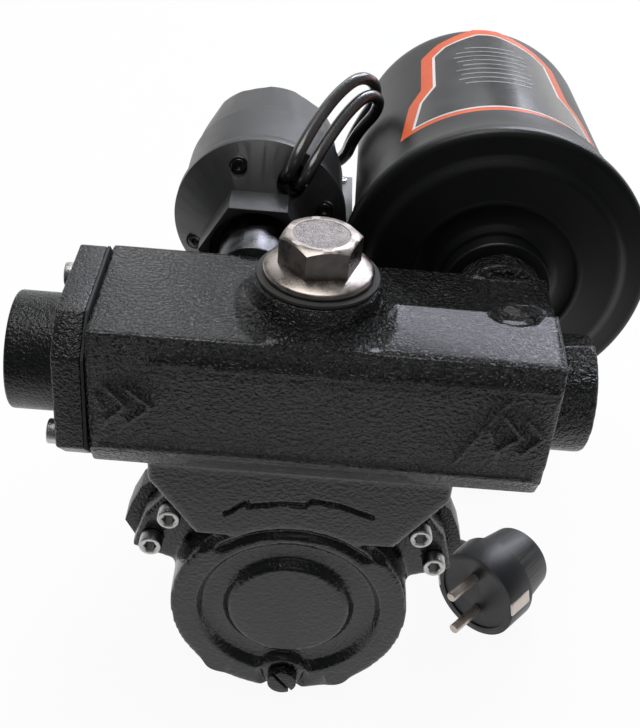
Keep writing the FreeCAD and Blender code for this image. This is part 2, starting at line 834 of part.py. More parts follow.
def make_rotor():
    tail_start = housing_rear + S.shield_thickness
    half_stack = S.stack_length / 2
    steps = [
        (shaft_front, S.impeller_seat_radius),
        (impeller_rear, S.seal_seat_radius),
        (bearing_front, S.bearing_seat_radius),
        (bearing_front + S.bearing_width, S.rotor_seat_radius),
        (bearing_rear, S.bearing_seat_radius),
        (tail_start, S.impeller_seat_radius),
        (tail_start + S.shaft_tail, None),
    ]
    outline = [(ZERO, ZERO)]
    for (start, radius), (end, _) in zip(steps, steps[1:]):
        outline += [(radius, start - shaft_front), (radius, end - shaft_front)]
    outline.append((ZERO, tail_start + S.shaft_tail - shaft_front))
    outline[1] = (S.impeller_seat_radius, ZERO)
    node(turned("y", shaft_front, axis, outline), "shaft")

    bore = S.impeller_seat_radius + S.fit
    core = [("circle", ZERO, ZERO, S.impeller_radius - S.vane_length), ("circle", ZERO, ZERO, bore)]
    spoke = (S.impeller_radius - S.vane_length - 2, S.impeller_radius, S.vane_thickness)
    node(spoked("y", impeller_front, axis, S.impeller_thickness, core, spoke, 24), "impeller")
    nut = cut(hexagon("y", impeller_front - S.nut_height, impeller_front, axis,
                      S.nut_radius * math.sqrt(3)),
              rod("y", impeller_front - S.nut_height, impeller_front, axis, bore))
    node(nut, "impeller_nut")

    seal_head_end = housing_front - S.bracket_thickness + S.seal_pocket_depth
    seat_front = seal_head_end - S.seal_seat_length
    node(tube("y", impeller_rear, seat_front - S.seal_face_gap, axis, S.seal_head_radius,
              S.seal_seat_radius + S.fit), "seal_head")
    node(tube("y", seat_front, seal_head_end, axis, S.seal_pocket_radius - S.fit,
              S.shaft_hole_radius), "seal_seat")

    core_half = half_stack + 1
    core = tube("y", -core_half, core_half, axis, S.rotor_radius, S.rotor_seat_radius + S.fit)
    rings = [tube("y", start, start + 6, axis, S.rotor_radius - 1, S.rotor_seat_radius + 4)
             for start in (-core_half - 6, core_half)]
    node(fuse(core, *rings), "rotor_core")

    fan_start = tail_start + S.fan_setback
    core = [("circle", ZERO, ZERO, S.fan_hub_radius),
            ("circle", ZERO, ZERO, S.impeller_seat_radius + S.fit)]
    spoke = (S.fan_hub_radius - 2, S.fan_radius, S.fan_blade)
    node(spoked("y", fan_start, axis, S.fan_length, core, spoke, 9), "cooling_fan")


def make_bearings():
    outer, inner, balls = [], [], []
    ball_circle = S.bearing_seat_radius + S.fit + S.bearing_race + S.ball_radius + S.fit
    for start in (bearing_front, bearing_rear):
        end = start + S.bearing_width
        ball_reach = ball_circle + S.ball_radius + S.fit
        outer.append(tube("y", start, end, axis, S.bearing_radius - S.fit, ball_reach))
        inner.append(tube("y", start, end, axis, S.bearing_seat_radius + S.fit + S.bearing_race,
                          S.bearing_seat_radius + S.fit))
        for number in range(8):
            ball = doc.addObject("Part::Sphere", "Ball")
            bind(ball, "Radius", S.ball_radius)
            across = polar(ball_circle, 45 * number, axis)
            put(ball, point("y", start + S.bearing_width / 2, across))
            balls.append(ball)
    node(group(*outer), "bearing_outer_rings")
    node(group(*inner, *balls), "bearing_inner_rings")


# Motor

def tie_places():
    return [polar(S.tie_circle, S.tie_angle + quarter, axis) for quarter in (0, 90, 180, 270)]


def make_bracket():
    disc = rod("y", joint, housing_front, axis, S.bracket_radius)
    boss = rod("y", housing_front - 1, housing_front + S.bracket_boss_length, axis, S.bracket_boss_radius)
    ear = round_axis([(48, -14), (53, -6), (60, -1), (68, 1.6), (S.ear_radius, 12.5), (S.ear_radius, 20),
                      (S.ear_radius, 28.5), (73, 42), (48, 52)])
    ears = [extruded("y", joint, S.bracket_thickness, [outline]) for outline in (ear, mirrored(ear))]
    tie_bosses = [rod("y", joint, housing_front, at, S.tie_boss_radius) for at in tie_places()]
    solid = fuse(disc, boss, *ears, *tie_bosses)
    groove = tube("y", joint - 1, joint + S.casing_seal_thickness + S.fit, axis,
                  S.casing_seal_radius + S.fit, S.casing_seal_radius - S.casing_seal_width - S.fit)
    cuts = [
        groove,
        rod("y", joint - 1, joint + S.seal_pocket_depth, axis, S.seal_pocket_radius),
        rod("y", joint, bearing_front + 1, axis, S.shaft_hole_radius),
        rod("y", bearing_front, bearing_front + S.bearing_width + 1, axis, S.bearing_radius),
    ]
    cuts += [rod("y", joint - 1, housing_front + 1, at, S.m6_radius + S.fit) for at in pump_screw_places()]
    cuts += [rod("y", housing_front - S.tie_depth - 2, housing_front + 1, at, S.tie_radius + S.fit)
             for at in tie_places()]
    node(cut(solid, *cuts), "motor_bracket")
    seal = tube("y", joint + S.fit, joint + S.casing_seal_thickness, axis, S.casing_seal_radius,
                S.casing_seal_radius - S.casing_seal_width)
    node(seal, "casing_seal")


def make_housing():
    core = [("circle", ZERO, ZERO, S.housing_radius), ("circle", ZERO, ZERO, S.housing_bore)]
    spoke = (S.housing_radius - 2, S.fin_radius, S.fin_thickness)
    shell = spoked("y", housing_front, axis, S.housing_length, core, spoke, 36)
    pad_top = shaft_height - S.housing_bore - 3
    foot_pad = block((-S.pad_half_width, -S.pad_half_length, S.foot_thickness),
                     (S.pad_half_width, S.pad_half_length, pad_top))
    terminal_floor = shaft_height + S.terminal_floor_rise
    terminal_pad = block(
        (S.box_centre_x - 18, terminal_front + 2, shaft_height + S.housing_bore + 3),
        (S.box_centre_x + 28, terminal_front + S.terminal_length - 6, terminal_floor))
    bore = rod("y", housing_front, housing_rear, axis, S.housing_bore)
    screws = [rod("z", ZERO, S.foot_thickness + S.foot_screw_length, at, S.m6_radius + S.fit)
              for at in foot_screw_places()]
    wires = rod("z", shaft_height + S.housing_bore - 2, terminal_floor + 1,
                (S.box_centre_x + 5, terminal_front + S.terminal_length / 2), as_size(6))
    node(cut(fuse(shell, foot_pad, terminal_pad), bore, wires, *screws), "motor_housing")


def make_stator():
    half = S.stack_length / 2
    places = [polar(S.slot_circle, 30 * number, axis) for number in range(12)]
    stack = tube("y", -half, half, axis, S.housing_bore - S.fit, S.stator_bore)
    slots = [rod("y", -half - 1, half + 1, at, S.slot_radius) for at in places]
    node(cut(stack, *slots), "stator_core")
    bars = [rod("y", -half - 2, half + 2, at, S.slot_radius - S.fit) for at in places]
    rings = [tube("y", start, start + S.winding_overhang, axis, S.winding_outer, S.winding_inner)
             for start in (half + 1, -half - 1 - S.winding_overhang)]
    node(fuse(*rings, *bars), "stator_windings")


def make_rear_shield():
    flange_end = housing_rear + S.shield_thickness
    disc = rod("y", housing_rear, flange_end, axis, S.cover_radius)
    spigot = rod("y", flange_end - 1, flange_end + S.shield_spigot, axis,
                 S.cover_radius - S.cover_wall - S.fit)
    boss = rod("y", bearing_rear - 1, housing_rear + 1, axis, S.bracket_boss_radius)
    tie_bosses = [rod("y", housing_rear, flange_end, at, S.tie_boss_radius) for at in tie_places()]
    cuts = [
        rod("y", bearing_rear - 2, bearing_rear + S.bearing_width, axis, S.bearing_radius),
        rod("y", bearing_rear, flange_end + S.shield_spigot + 1, axis, S.shaft_hole_radius),
        tube("y", flange_end + 1, flange_end + S.shield_spigot + 1, axis, S.cover_radius - 6, as_size(14)),
    ]
    cuts += [rod("y", housing_rear - 1, flange_end + 1, at, S.tie_radius + 0.3) for at in tie_places()]
    for along, start, across, _ in cover_screw_places():
        cuts.append(rod(along, start, start + S.cover_screw_length + 1, across,
                        S.cover_screw_radius + S.fit))
    node(cut(fuse(disc, spigot, boss, *tie_bosses), *cuts), "rear_end_shield")


def cover_screw_places():
    """Where the fan cover's screws sit, all round the cover and pointing at the axis."""
    at_y = housing_rear + S.shield_thickness + S.cover_screw_setback
    length = S.cover_screw_length
    reach = S.cover_radius
    return [
        ("x", reach - length, (at_y, shaft_height), -1),
        ("x", -reach - 1, (at_y, shaft_height), 1),
        ("z", shaft_height + reach - length, (ZERO, at_y), -1),
        ("z", shaft_height - reach - 1, (ZERO, at_y), 1),
    ]


def make_fan_cover():
    start = housing_rear + S.shield_thickness + S.seat_gap
    end = start + S.cover_length
    side = tube("y", start, end - S.cover_back + 0.1, axis, S.cover_radius, S.cover_radius - S.cover_wall)
    core = [("circle", ZERO, ZERO, S.cover_radius)]
    spoke = (S.vent_inner, S.vent_inner + S.vent_length, S.vent_width)
    grille = spoked("y", end - S.cover_back, axis, S.cover_back, core, spoke, 16, cut_out=True)
    holes = [rod(along, first - 1, first + S.cover_screw_length + 2, across, S.cover_screw_radius + 0.3)
             for along, first, across, _ in cover_screw_places()]
    node(cut(fuse(side, grille), *holes), "fan_cover")
    screws = []
    at_y = housing_rear + S.shield_thickness + S.cover_screw_setback
    reach = S.cover_radius + S.fit
    for along, seat, across, sign in (
            ("x", reach, (at_y, shaft_height), -1), ("x", -reach, (at_y, shaft_height), 1),
            ("z", shaft_height + reach, (ZERO, at_y), -1), ("z", shaft_height - reach, (ZERO, at_y), 1)):
        screws.append(cap_screw(along, seat, across, S.cover_screw_head_radius, S.cover_screw_head,
                                S.cover_screw_radius, S.cover_screw_length - 2, 1.5, sign))
    node(group(*screws), "fan_cover_screws")


def make_tie_bolts():
    seat = housing_rear + S.shield_thickness
    length = seat - housing_front + S.tie_depth
    bolts = [cap_screw("y", seat, at, S.tie_head_radius, S.tie_head, S.tie_radius, length, 2.3, -1)
             for at in tie_places()]
    node(group(*bolts), "tie_bolts")


def foot_screw_places():
    return [(sx * S.foot_screw_x, sy * S.foot_screw_y) for sx in (1, -1) for sy in (1, -1)]


def make_foot():
    plate = block((-S.foot_half_width, -S.foot_half_length, ZERO),
                  (S.foot_half_width, S.foot_half_length, S.foot_thickness))
    holes = [rod("z", as_size(-1), S.foot_thickness + 1, (sx * S.foot_pitch_x / 2, sy * S.foot_pitch_y / 2),
                 S.foot_hole_radius) for sx in (1, -1) for sy in (1, -1)]
    sink = S.foot_thickness - 2
    for at in foot_screw_places():
        holes.append(taper("z", ZERO, sink + 0.3, at, S.m6_head_radius + 1.2, S.m6_radius + 0.3))
        holes.append(rod("z", ZERO, S.foot_thickness + 1, at, S.m6_radius + 0.3))
    node(cut(plate, *holes), "foot_plate")
    screws = []
    for at in foot_screw_places():
        head = taper("z", as_size(0.3), sink + 0.1, at, S.m6_head_radius + 0.7, S.m6_radius)
        shank = rod("z", sink, S.foot_thickness + S.foot_screw_length - 1, at, S.m6_radius)
        drive = hexagon("z", as_size(0.2), as_size(2), at, as_size(4))
        screws.append(cut(fuse(head, shank), drive))
    node(group(*screws), "foot_screws")


# Terminal box

terminal_low = shaft_height + S.terminal_floor_rise
terminal_top = terminal_low + S.terminal_height
terminal_left = S.box_centre_x - S.terminal_half_width
terminal_right = S.box_centre_x + S.terminal_half_width
terminal_front = housing_rear - S.terminal_setback
terminal_rear = terminal_front + S.terminal_length
lead_gland_y = terminal_rear - S.lead_gland_setback
lid_top = terminal_top + S.lid_thickness
gland_at = (terminal_rear - S.gland_setback, lid_top - S.gland_drop)
gland_end = terminal_right + S.gland_length


def lid_screw_places():
    inset = S.lid_screw_inset
    return [(x, y) for x in (terminal_left + inset, terminal_right - inset)
            for y in (terminal_front + inset, terminal_rear - inset)]


def make_terminal_box():
    wall = S.terminal_wall
    shell = block((terminal_left, terminal_front, terminal_low),
                  (terminal_right, terminal_rear, terminal_top))
    room = block((terminal_left + wall, terminal_front + wall, terminal_low + wall),
                 (terminal_right - wall, terminal_rear - wall, terminal_top + 1))
    posts = [rod("z", terminal_low + 1, terminal_top, at, S.lid_post_radius) for at in lid_screw_places()]
    threads = [rod("z", terminal_top - S.lid_screw_length, terminal_top + 1, at, S.lid_screw_radius + S.fit)
               for at in lid_screw_places()]
    wires = rod("z", terminal_low - 1, terminal_low + wall + 1,
                (S.box_centre_x + 5, terminal_front + S.terminal_length / 2), as_size(6))
    side_hole = rod("x", terminal_right - wall - 1, terminal_right + 1, gland_at, S.gland_thread_radius)
    node(cut(fuse(cut(shell, room), *posts), *threads, wires, side_hole), "terminal_box")
    lid = block((terminal_left, terminal_front, terminal_top), (terminal_right, terminal_rear, lid_top))
    lead_hole = rod("z", terminal_top - 1, lid_top + 1, (S.lead_gland_x, lead_gland_y),
                    S.gland_thread_radius)
    holes = [rod("z", terminal_top - 1, lid_top + 1, at, S.lid_screw_radius + 0.3)
             for at in lid_screw_places()]
    node(cut(lid, lead_hole, *holes), "terminal_lid")
    screws = []
    for at in lid_screw_places():
        screw = fuse(rod("z", lid_top, lid_top + S.lid_screw_head, at, S.lid_screw_head_radius),
                     rod("z", lid_top - S.lid_screw_length, lid_top, at, S.lid_screw_radius))
        cross = block((at[0] - 2, at[1] - 0.4, lid_top + 0.8), (at[0] + 2, at[1] + 0.4, lid_top + 3))
        screws.append(cut(screw, cross))
    node(group(*screws), "lid_screws")
    floor = terminal_low + wall
    capacitor_x = terminal_left + wall + S.lid_post_radius + S.capacitor_radius
    clear_of_post = S.lid_screw_inset + S.lid_post_radius + S.capacitor_gap
    capacitor = rod("y", terminal_front + clear_of_post, terminal_rear - clear_of_post,
                    (capacitor_x, floor + S.capacitor_radius + 0.1), S.capacitor_radius)
    node(capacitor, "run_capacitor")


def make_glands():
    nut_end = terminal_right + S.gland_nut
    tail_start = gland_end - S.gland_tail
    body = fuse(hexagon("x", terminal_right, nut_end, gland_at, 2 * S.gland_radius),
                rod("x", nut_end - 1, tail_start, gland_at, S.gland_radius - 1),
                taper("x", tail_start - 0.1, gland_end, gland_at, S.gland_radius - 1.5,
                      S.cord_radius + 1.2),
                rod("x", terminal_right - S.terminal_wall, terminal_right + 1, gland_at,
                    S.gland_thread_radius - S.fit))
    node(body, "mains_gland")
    at = (S.lead_gland_x, lead_gland_y)
    top = lid_top + S.lead_gland_height
    grommet = fuse(rod("z", lid_top, top - 4, at, S.gland_radius),
                   taper("z", top - 4.1, top, at, S.gland_radius, as_size(6.4)),
                   rod("z", terminal_top - 2, lid_top + 1, at, S.gland_thread_radius - S.fit))
    holes = [rod("z", top - 6, top + 1, (S.lead_gland_x + side * 3.0, lead_gland_y),
                 S.lead_radius + S.fit) for side in (-1, 1)]
    node(cut(grommet, *holes), "lead_gland")


# Pressure tank

tank_seat = box_rear + S.tank_boss_length
tank_face = tank_seat + S.tank_collar + S.tank_face_gap
tank_band_end = tank_face + S.tank_flare
tank_end = tank_face + S.tank_length
tank_tail_radius = tank_radius - S.tank_draft
tank_step_radius = S.tank_rim_radius - S.tank_rim_land


def make_tank():
    collar_end = tank_seat + S.tank_collar
    inlet_end = tank_face + S.tank_inlet_length
    nozzle = fuse(
        rod("y", tank_seat - S.tank_thread_length, tank_seat + 1, tank_axis, S.tank_thread_radius - S.fit),
        rod("y", tank_seat, collar_end, tank_axis, S.tank_collar_radius),
        rod("y", collar_end - 1, inlet_end, tank_axis, S.tank_inlet_radius))
    bore = rod("y", tank_seat - S.tank_thread_length - 1, inlet_end + 1, tank_axis, S.tank_bore_radius)
    node(cut(nozzle, bore), "tank_nozzle")

    wall = S.tank_wall
    mouth = S.tank_inlet_radius + S.fit
    lift = S.tank_face_gap
    front = [
        (mouth, -lift), (S.tank_collar_radius + 1, -lift), (S.tank_collar_radius + 4, ZERO),
        (tank_step_radius, ZERO), (tank_step_radius + 3, S.tank_step), (S.tank_rim_radius - 2, S.tank_step),
        (S.tank_rim_radius, S.tank_step + 2), (S.tank_rim_radius, S.tank_step + S.tank_rim),
        (tank_radius + wall + S.fit, S.tank_flare), (tank_radius + S.fit, S.tank_flare),
        (S.tank_rim_radius - wall, S.tank_step + S.tank_rim), (S.tank_rim_radius - wall,
                                                               S.tank_step + 2 + wall),
        (tank_step_radius + 2, S.tank_step + wall), (tank_step_radius - 1, wall),
        (S.tank_collar_radius + 3, wall), (S.tank_collar_radius, wall - lift), (mouth, wall - lift),
    ]
    node(turned("y", tank_face, tank_axis, front), "tank_front_cover")
    length = S.tank_length - S.tank_flare + 8
    dome = length - S.tank_dome
    tail = tank_tail_radius
    back = [
        (tank_radius, ZERO), (tail, dome), (tail - 5, dome + S.tank_dome * 0.45),
        (tail - 16, dome + S.tank_dome * 0.8), (tail - 32, length),
        (S.air_valve_radius + S.fit, length), (S.air_valve_radius + S.fit, length - wall),
        (tail - 32, length - wall), (tail - 16.5, dome + S.tank_dome * 0.8 - wall),
        (tail - 6.2, dome + S.tank_dome * 0.45 - 0.5), (tail - wall, dome),
        (tank_radius - wall, ZERO),
    ]
    node(turned("y", tank_band_end - 8, tank_axis, back), "tank_shell")

    bag = S.membrane_wall
    wide = tank_tail_radius - S.membrane_side_gap
    far = S.tank_length - S.membrane_end_gap
    round_off = S.membrane_round
    throat = S.tank_inlet_radius + S.fit
    outline = [
        (throat, ZERO), (throat + 4, ZERO), (throat + 4, as_size(6)), (wide, S.membrane_shoulder),
        (wide, far - round_off), (wide - round_off, far), (ZERO, far), (ZERO, far - bag),
        (wide - round_off - 1, far - bag), (wide - bag, far - round_off - 1),
        (wide - bag, S.membrane_shoulder + 1), (throat, as_size(8)),
    ]
    node(turned("y", tank_face + wall - lift + S.fit, tank_axis, outline), "tank_membrane")

    valve = rod("y", tank_end - 6, tank_end + 8 + S.air_valve_length - 8, tank_axis, S.air_valve_radius)
    flange = rod("y", tank_end - 6, tank_end - wall - S.fit, tank_axis, S.air_valve_radius + 4)
    cap_start = tank_end + 0.2
    cap_end = tank_end + S.air_valve_length + S.air_cap_wall
    cap = cut(rod("y", cap_start, cap_end, tank_axis, S.air_cap_radius),
              rod("y", cap_start - 1, tank_end + S.air_valve_length + S.fit, tank_axis,
                  S.air_valve_radius + S.fit))
    node(group(fuse(valve, flange), cap), "air_valve")


# Pressure switch

union_front = box_rear + S.nut_setback
union_rear = union_front + S.union_length
switch_rim_front = union_rear + S.switch_cone
cap_start = switch_rim_front + S.switch_rim
nipple_end = box_rear + S.nipple_length


def switch_screw_places():
    return [polar(S.switch_screw_circle, S.switch_screw_angle + quarter, switch_axis)
            for quarter in (0, 90, 180, 270)]


def make_switch():
    nipple = fuse(
        rod("y", box_rear - S.chamber_wall, box_rear + 1, switch_axis, S.switch_thread_radius - S.fit),
        rod("y", box_rear, nipple_end, switch_axis, S.nipple_radius))
    bore = rod("y", box_rear - S.chamber_wall - 1, nipple_end + 1, switch_axis, S.nipple_bore_radius)
    node(cut(nipple, bore), "switch_nipple")
    union = cut(
        hexagon("y", union_front, union_rear, switch_axis, S.union_flats),
        rod("y", union_front - 1, union_front + S.union_mouth, switch_axis, S.union_mouth_radius),
        rod("y", union_front, union_rear + 1, switch_axis, S.nipple_radius + S.fit))
    node(union, "union_nut")

    wall = S.switch_wall
    depth = S.switch_cone + S.switch_rim
    outline = [
        (S.nipple_bore_radius + 1, ZERO), (S.switch_neck_radius, ZERO), (S.switch_radius, S.switch_cone),
        (S.switch_radius, depth), (S.switch_radius - wall, depth), (S.switch_radius - wall,
                                                                    S.switch_cone + 1),
        (S.diaphragm_radius + S.fit, as_size(6)), (S.nipple_bore_radius + 1, as_size(4)),
    ]
    base = turned("y", union_rear, switch_axis, outline)
    cuts, posts = [], []
    for at in switch_screw_places():
        posts.append(rod("y", union_rear + 9, cap_start, at, S.switch_screw_head_radius + 0.9))
        cuts.append(rod("y", union_rear, union_rear + 11, at, S.switch_screw_head_radius + 0.3))
        cuts.append(rod("y", union_rear, cap_start + 1, at, S.switch_screw_radius + 0.3))
    cable_hole = rod("y", union_rear, cap_start + 1, lead_hole_at(), as_size(6.5))
    node(cut(fuse(base, *posts), cable_hole, *cuts), "switch_base")

    end = S.cap_length
    shell = [
        (S.cap_radius, ZERO), (S.cap_radius - 0.5, S.cap_step), (S.cap_end_radius, end - 2.5),
        (S.cap_end_radius - 2.5, end), (ZERO, end), (ZERO, end - wall),
        (S.cap_end_radius - wall - 2, end - wall), (S.cap_end_radius - wall, end - 5),
        (S.cap_radius - wall - 0.5, S.cap_step - 1), (S.cap_radius - wall, ZERO),
    ]
    cap = turned("y", cap_start, switch_axis, shell)
    sockets = [rod("y", cap_start, cap_start + 12, at, S.switch_screw_radius + 2.3)
               for at in switch_screw_places()]
    threads = [rod("y", cap_start - 1, cap_start + 11, at, S.switch_screw_radius + S.fit)
               for at in switch_screw_places()]
    node(cut(fuse(cap, *sockets), *threads), "switch_cap")
    screws = [cap_screw("y", union_rear + 11, at, S.switch_screw_head_radius, as_size(2.5),
                        S.switch_screw_radius,
                        cap_start - union_rear - 1, 1.6) for at in switch_screw_places()]
    node(group(*screws), "switch_screws")


def lead_hole_at():
    """Where the leads leave the switch's face, up and right of its axis."""
    return polar(S.switch_screw_circle - 2.5, as_size(61), switch_axis)


def make_switch_works():
    start = union_rear + 6.3
    disc = rod("y", start, start + S.diaphragm_thickness, switch_axis, S.diaphragm_radius - 1)
    rim = tube("y", start + S.diaphragm_thickness - 0.1, start + 3, switch_axis, S.diaphragm_radius - 1,
               S.diaphragm_radius - 3)
    node(fuse(disc, rim), "switch_diaphragm")
    plate_start = start + S.diaphragm_thickness + S.seat_gap
    plate_end = plate_start + S.plunger_plate
    block_start = plate_start + S.plunger_length
    plate = rod("y", plate_start, plate_end, switch_axis, S.plunger_plate_radius)
    stem = rod("y", plate_end - 1, block_start - 2, switch_axis, S.plunger_radius)
    node(fuse(plate, stem), "switch_plunger")
    stay = block_start - 6
    node(spring("y", plate_end, stay - plate_end, switch_axis, S.switch_spring_radius,
                S.switch_spring_wire, 4),
         "switch_spring")
    x, z = switch_axis
    carrier = fuse(
        block((x - S.contact_width / 2, block_start, z - S.contact_height / 2),
              (x + S.contact_width / 2, block_start + S.contact_length, z + S.contact_height / 2)),
        rod("y", stay, block_start + 1, switch_axis, S.switch_spring_radius + 3),
        block((x - S.cap_radius + S.switch_wall + 1, stay, z - 4),
              (x + S.cap_radius - S.switch_wall - 1, stay + 4, z + 4)))
    guide = rod("y", stay - 1, block_start + 2, switch_axis, S.plunger_radius + S.fit)
    node(cut(carrier, guide), "contact_block")


# Leads and the mains lead: straight runs joined by arcs

def smooth_path(route):
    """A wire through a route's corners, each rounded by as large an arc as its runs allow."""
    points = [FreeCAD.Vector(*corner) for corner in route]
    edges, radii = [], []
    here = points[0]
    for before, corner, after in zip(points, points[1:], points[2:]):
        arrive, leave = corner - before, after - corner
        half_turn = arrive.getAngle(leave) / 2
        reach = 0.45 * min(arrive.Length, leave.Length)
        arrive.normalize()
        leave.normalize()
        start, end = corner - arrive * reach, corner + leave * reach
        radius = reach / math.tan(half_turn)
        bulge = (leave - arrive).normalize()
        middle = corner + bulge * (radius / math.cos(half_turn) - radius)
        edges.append(Part.LineSegment(here, start).toShape())
        edges.append(Part.Arc(start, middle, end).toShape())
        radii.append(radius)
        here = end
    edges.append(Part.LineSegment(here, points[-1]).toShape())
    return Part.Wire(edges), radii


def cord(name, route, radius):
    """A round cord along a route, its volume compared with its section times its length."""
    path, radii = smooth_path(route)
    first = FreeCAD.Vector(*route[1]) - FreeCAD.Vector(*route[0])
    section = Part.Wire(Part.makeCircle(radius.value, FreeCAD.Vector(*route[0]), first))
    shape = path.makePipeShell([section], True, False)
    obj = doc.addObject("Part::Feature", "Cord")
    obj.Shape = shape
    expected = math.pi * radius.value ** 2 * path.Length
    print(f"{name}: {path.Length:.0f} mm, least radius {min(radii):.1f}, volume ratio {shape.Volume / expected:.4f}")
    return node(obj, name)


coil_y = housing_rear - S.coil_setback
# Each lead's route, point by point, from the switch's face to the terminal lid.
LEAD_A_ROUTE = [
    (-16.6, -30.0, 216.2), (-14.2, -38.5, 222.5), (-11.5, -35.5, 231.0), (-4.5, -18.0, 239.0), (4.0,
                                                                                                -2.0, 245.8),
    (13.0, 10.0, 249.0), (20.5, 20.5, 242.5), (22.0, 27.5, 231.0), (17.0, 34.5, 218.0), (13.2, 43.0, 204.0),
    (11.5, 54.0, 191.0), (8.0, 61.5, 183.0), (5.0, 66.0, 174.5), (5.0, 66.0, 164.5),
]
LEAD_B_ROUTE = [
    (-11.7, -30.0, 213.5), (-8.5, -38.5, 218.0), (-5.5, -36.5, 226.0), (1.5, -20.0, 233.0), (9.5, -4.0,
                                                                                             239.2),
    (17.0, 7.5, 242.0), (23.0, 15.5, 237.0), (22.4, 20.5, 228.0), (17.0, 27.0, 217.5), (13.4, 35.0, 206.0),
    (11.8, 43.0, 195.0), (7.0, 52.0, 186.0), (1.5, 61.5, 181.5), (-1.0, 66.0, 174.5), (-1.0, 66.0, 164.5),
]
# The mains lead from its gland down to the coil, and from the coil to the plug.
MAINS_UPPER_ROUTE = [
    (45.0, 80.0, 124.5), (56.0, 80.0, 124.5), (65.5, 82.0, 117.0), (69.0, 88.0, 99.0), (68.5, 95.0, 77.0),
    (67.5, 103.0, 57.0), (69.0, 109.5, 40.0), (71.0, 107.0, 28.0), (71.0, 96.0, 24.8), (71.5, 86.0, 24.6),
]
MAINS_LOWER_ROUTE = [
    (62.0, 62.8, 3.6), (66.0, 52.5, 3.6), (66.0, 41.0, 3.6), (63.0, 29.5, 3.6), (57.6, 18.3,
                                                                                 3.6), (55.2, 2.5, 3.8),
    (56.4, -11.4, 5.0), (61.6, -22.9, 7.2), (70.5, -30.9, 10.3),
]


def between(route, first, last):
    """The route with its ends at first and last; each point between takes its share of both moves."""
    steps = len(route) - 1
    moves = [[as_size(wanted).value - typed for wanted, typed in zip(end, corner)]
             for end, corner in ((first, route[0]), (last, route[-1]))]
    return [tuple(typed + moves[0][axis] * (1 - number / steps) + moves[1][axis] * number / steps
                  for axis, typed in enumerate(corner)) for number, corner in enumerate(route)]


def make_leads():
    hole_x, hole_z = lead_hole_at()
    seat = union_rear + S.lead_seat
    lead_end = lid_top + S.lead_gland_height - 3
    ends = [(S.lead_gland_x + side * 3, lead_gland_y, lead_end) for side in (1, -1)]
    cord("switch_lead_a", between(LEAD_A_ROUTE, (hole_x - 3.69, seat, hole_z - 0.41), ends[0]),
         S.lead_radius)
    cord("switch_lead_b", between(LEAD_B_ROUTE, (hole_x + 1.21, seat, hole_z - 3.11), ends[1]),
         S.lead_radius)
    half_width = S.coil_turns_wide * S.cord_radius
    height = 2 * S.coil_turns_high * S.cord_radius
    at = (S.coil_x, coil_y)
    onto_coil = (S.coil_x - S.coil_radius + S.cord_radius, coil_y + 2, height + S.cord_radius + 0.1)
    cord("mains_cord_upper", between(MAINS_UPPER_ROUTE, (gland_end, *gland_at), onto_coil), S.cord_radius)
    off_coil = (S.coil_x - 45, coil_y - 21.2, S.cord_radius + 0.1)
    boot_end = plug_place + plug_frame().multVec(
        FreeCAD.Vector(0, (S.plug_arm_reach + S.boot_length).value, plug_arm_depth.value))
    cord("mains_cord_lower", between(MAINS_LOWER_ROUTE, off_coil, tuple(boot_end)), S.cord_radius)
    node(tube("z", ZERO, height, at, S.coil_radius + half_width, S.coil_radius - half_width),
         "mains_cord_coil")
    far = S.coil_x + S.coil_radius
    strap = S.tie_strap_thickness
    outer = block((far - half_width - strap, coil_y - S.tie_strap_width / 2, ZERO),
                  (far + half_width + strap, coil_y + S.tie_strap_width / 2, height + strap))
    inner = block((far - half_width - 0.2, coil_y - S.tie_strap_width, as_size(-1)),
                  (far + half_width + 0.2, coil_y + S.tie_strap_width, height + 0.1))
    node(cut(outer, inner), "coil_tie")


plug_place = FreeCAD.Vector(S.plug_x.value, S.plug_y.value, S.plug_radius.value)
plug_arm_depth = -S.plug_front_depth - 4


def plug_frame():
    """The plug's own axes: its Z is the way its pins point and its Y the way the cord leaves."""
    turn = math.radians(S.plug_turn.value)
    roll = math.radians(S.plug_roll.value)
    pins = FreeCAD.Vector(-math.cos(turn), -math.sin(turn), 0)
    level = FreeCAD.Vector(-math.sin(turn), math.cos(turn), 0)
    exit_way = level * math.cos(roll) - FreeCAD.Vector(0, 0, 1) * math.sin(roll)
    side = exit_way.cross(pins)
    matrix = FreeCAD.Matrix(side.x, exit_way.x, pins.x, 0, side.y, exit_way.y, pins.y, 0,
                            side.z, exit_way.z, pins.z, 0, 0, 0, 0, 1)
    return FreeCAD.Rotation(matrix)


def laid(obj):
    """Lays a piece that was made about the plug's face centre where the plug lies."""
    holder = group(obj)
    holder.Placement = FreeCAD.Placement(FreeCAD.Vector(), plug_frame())
    return put(holder, (S.plug_x, S.plug_y, S.plug_radius))


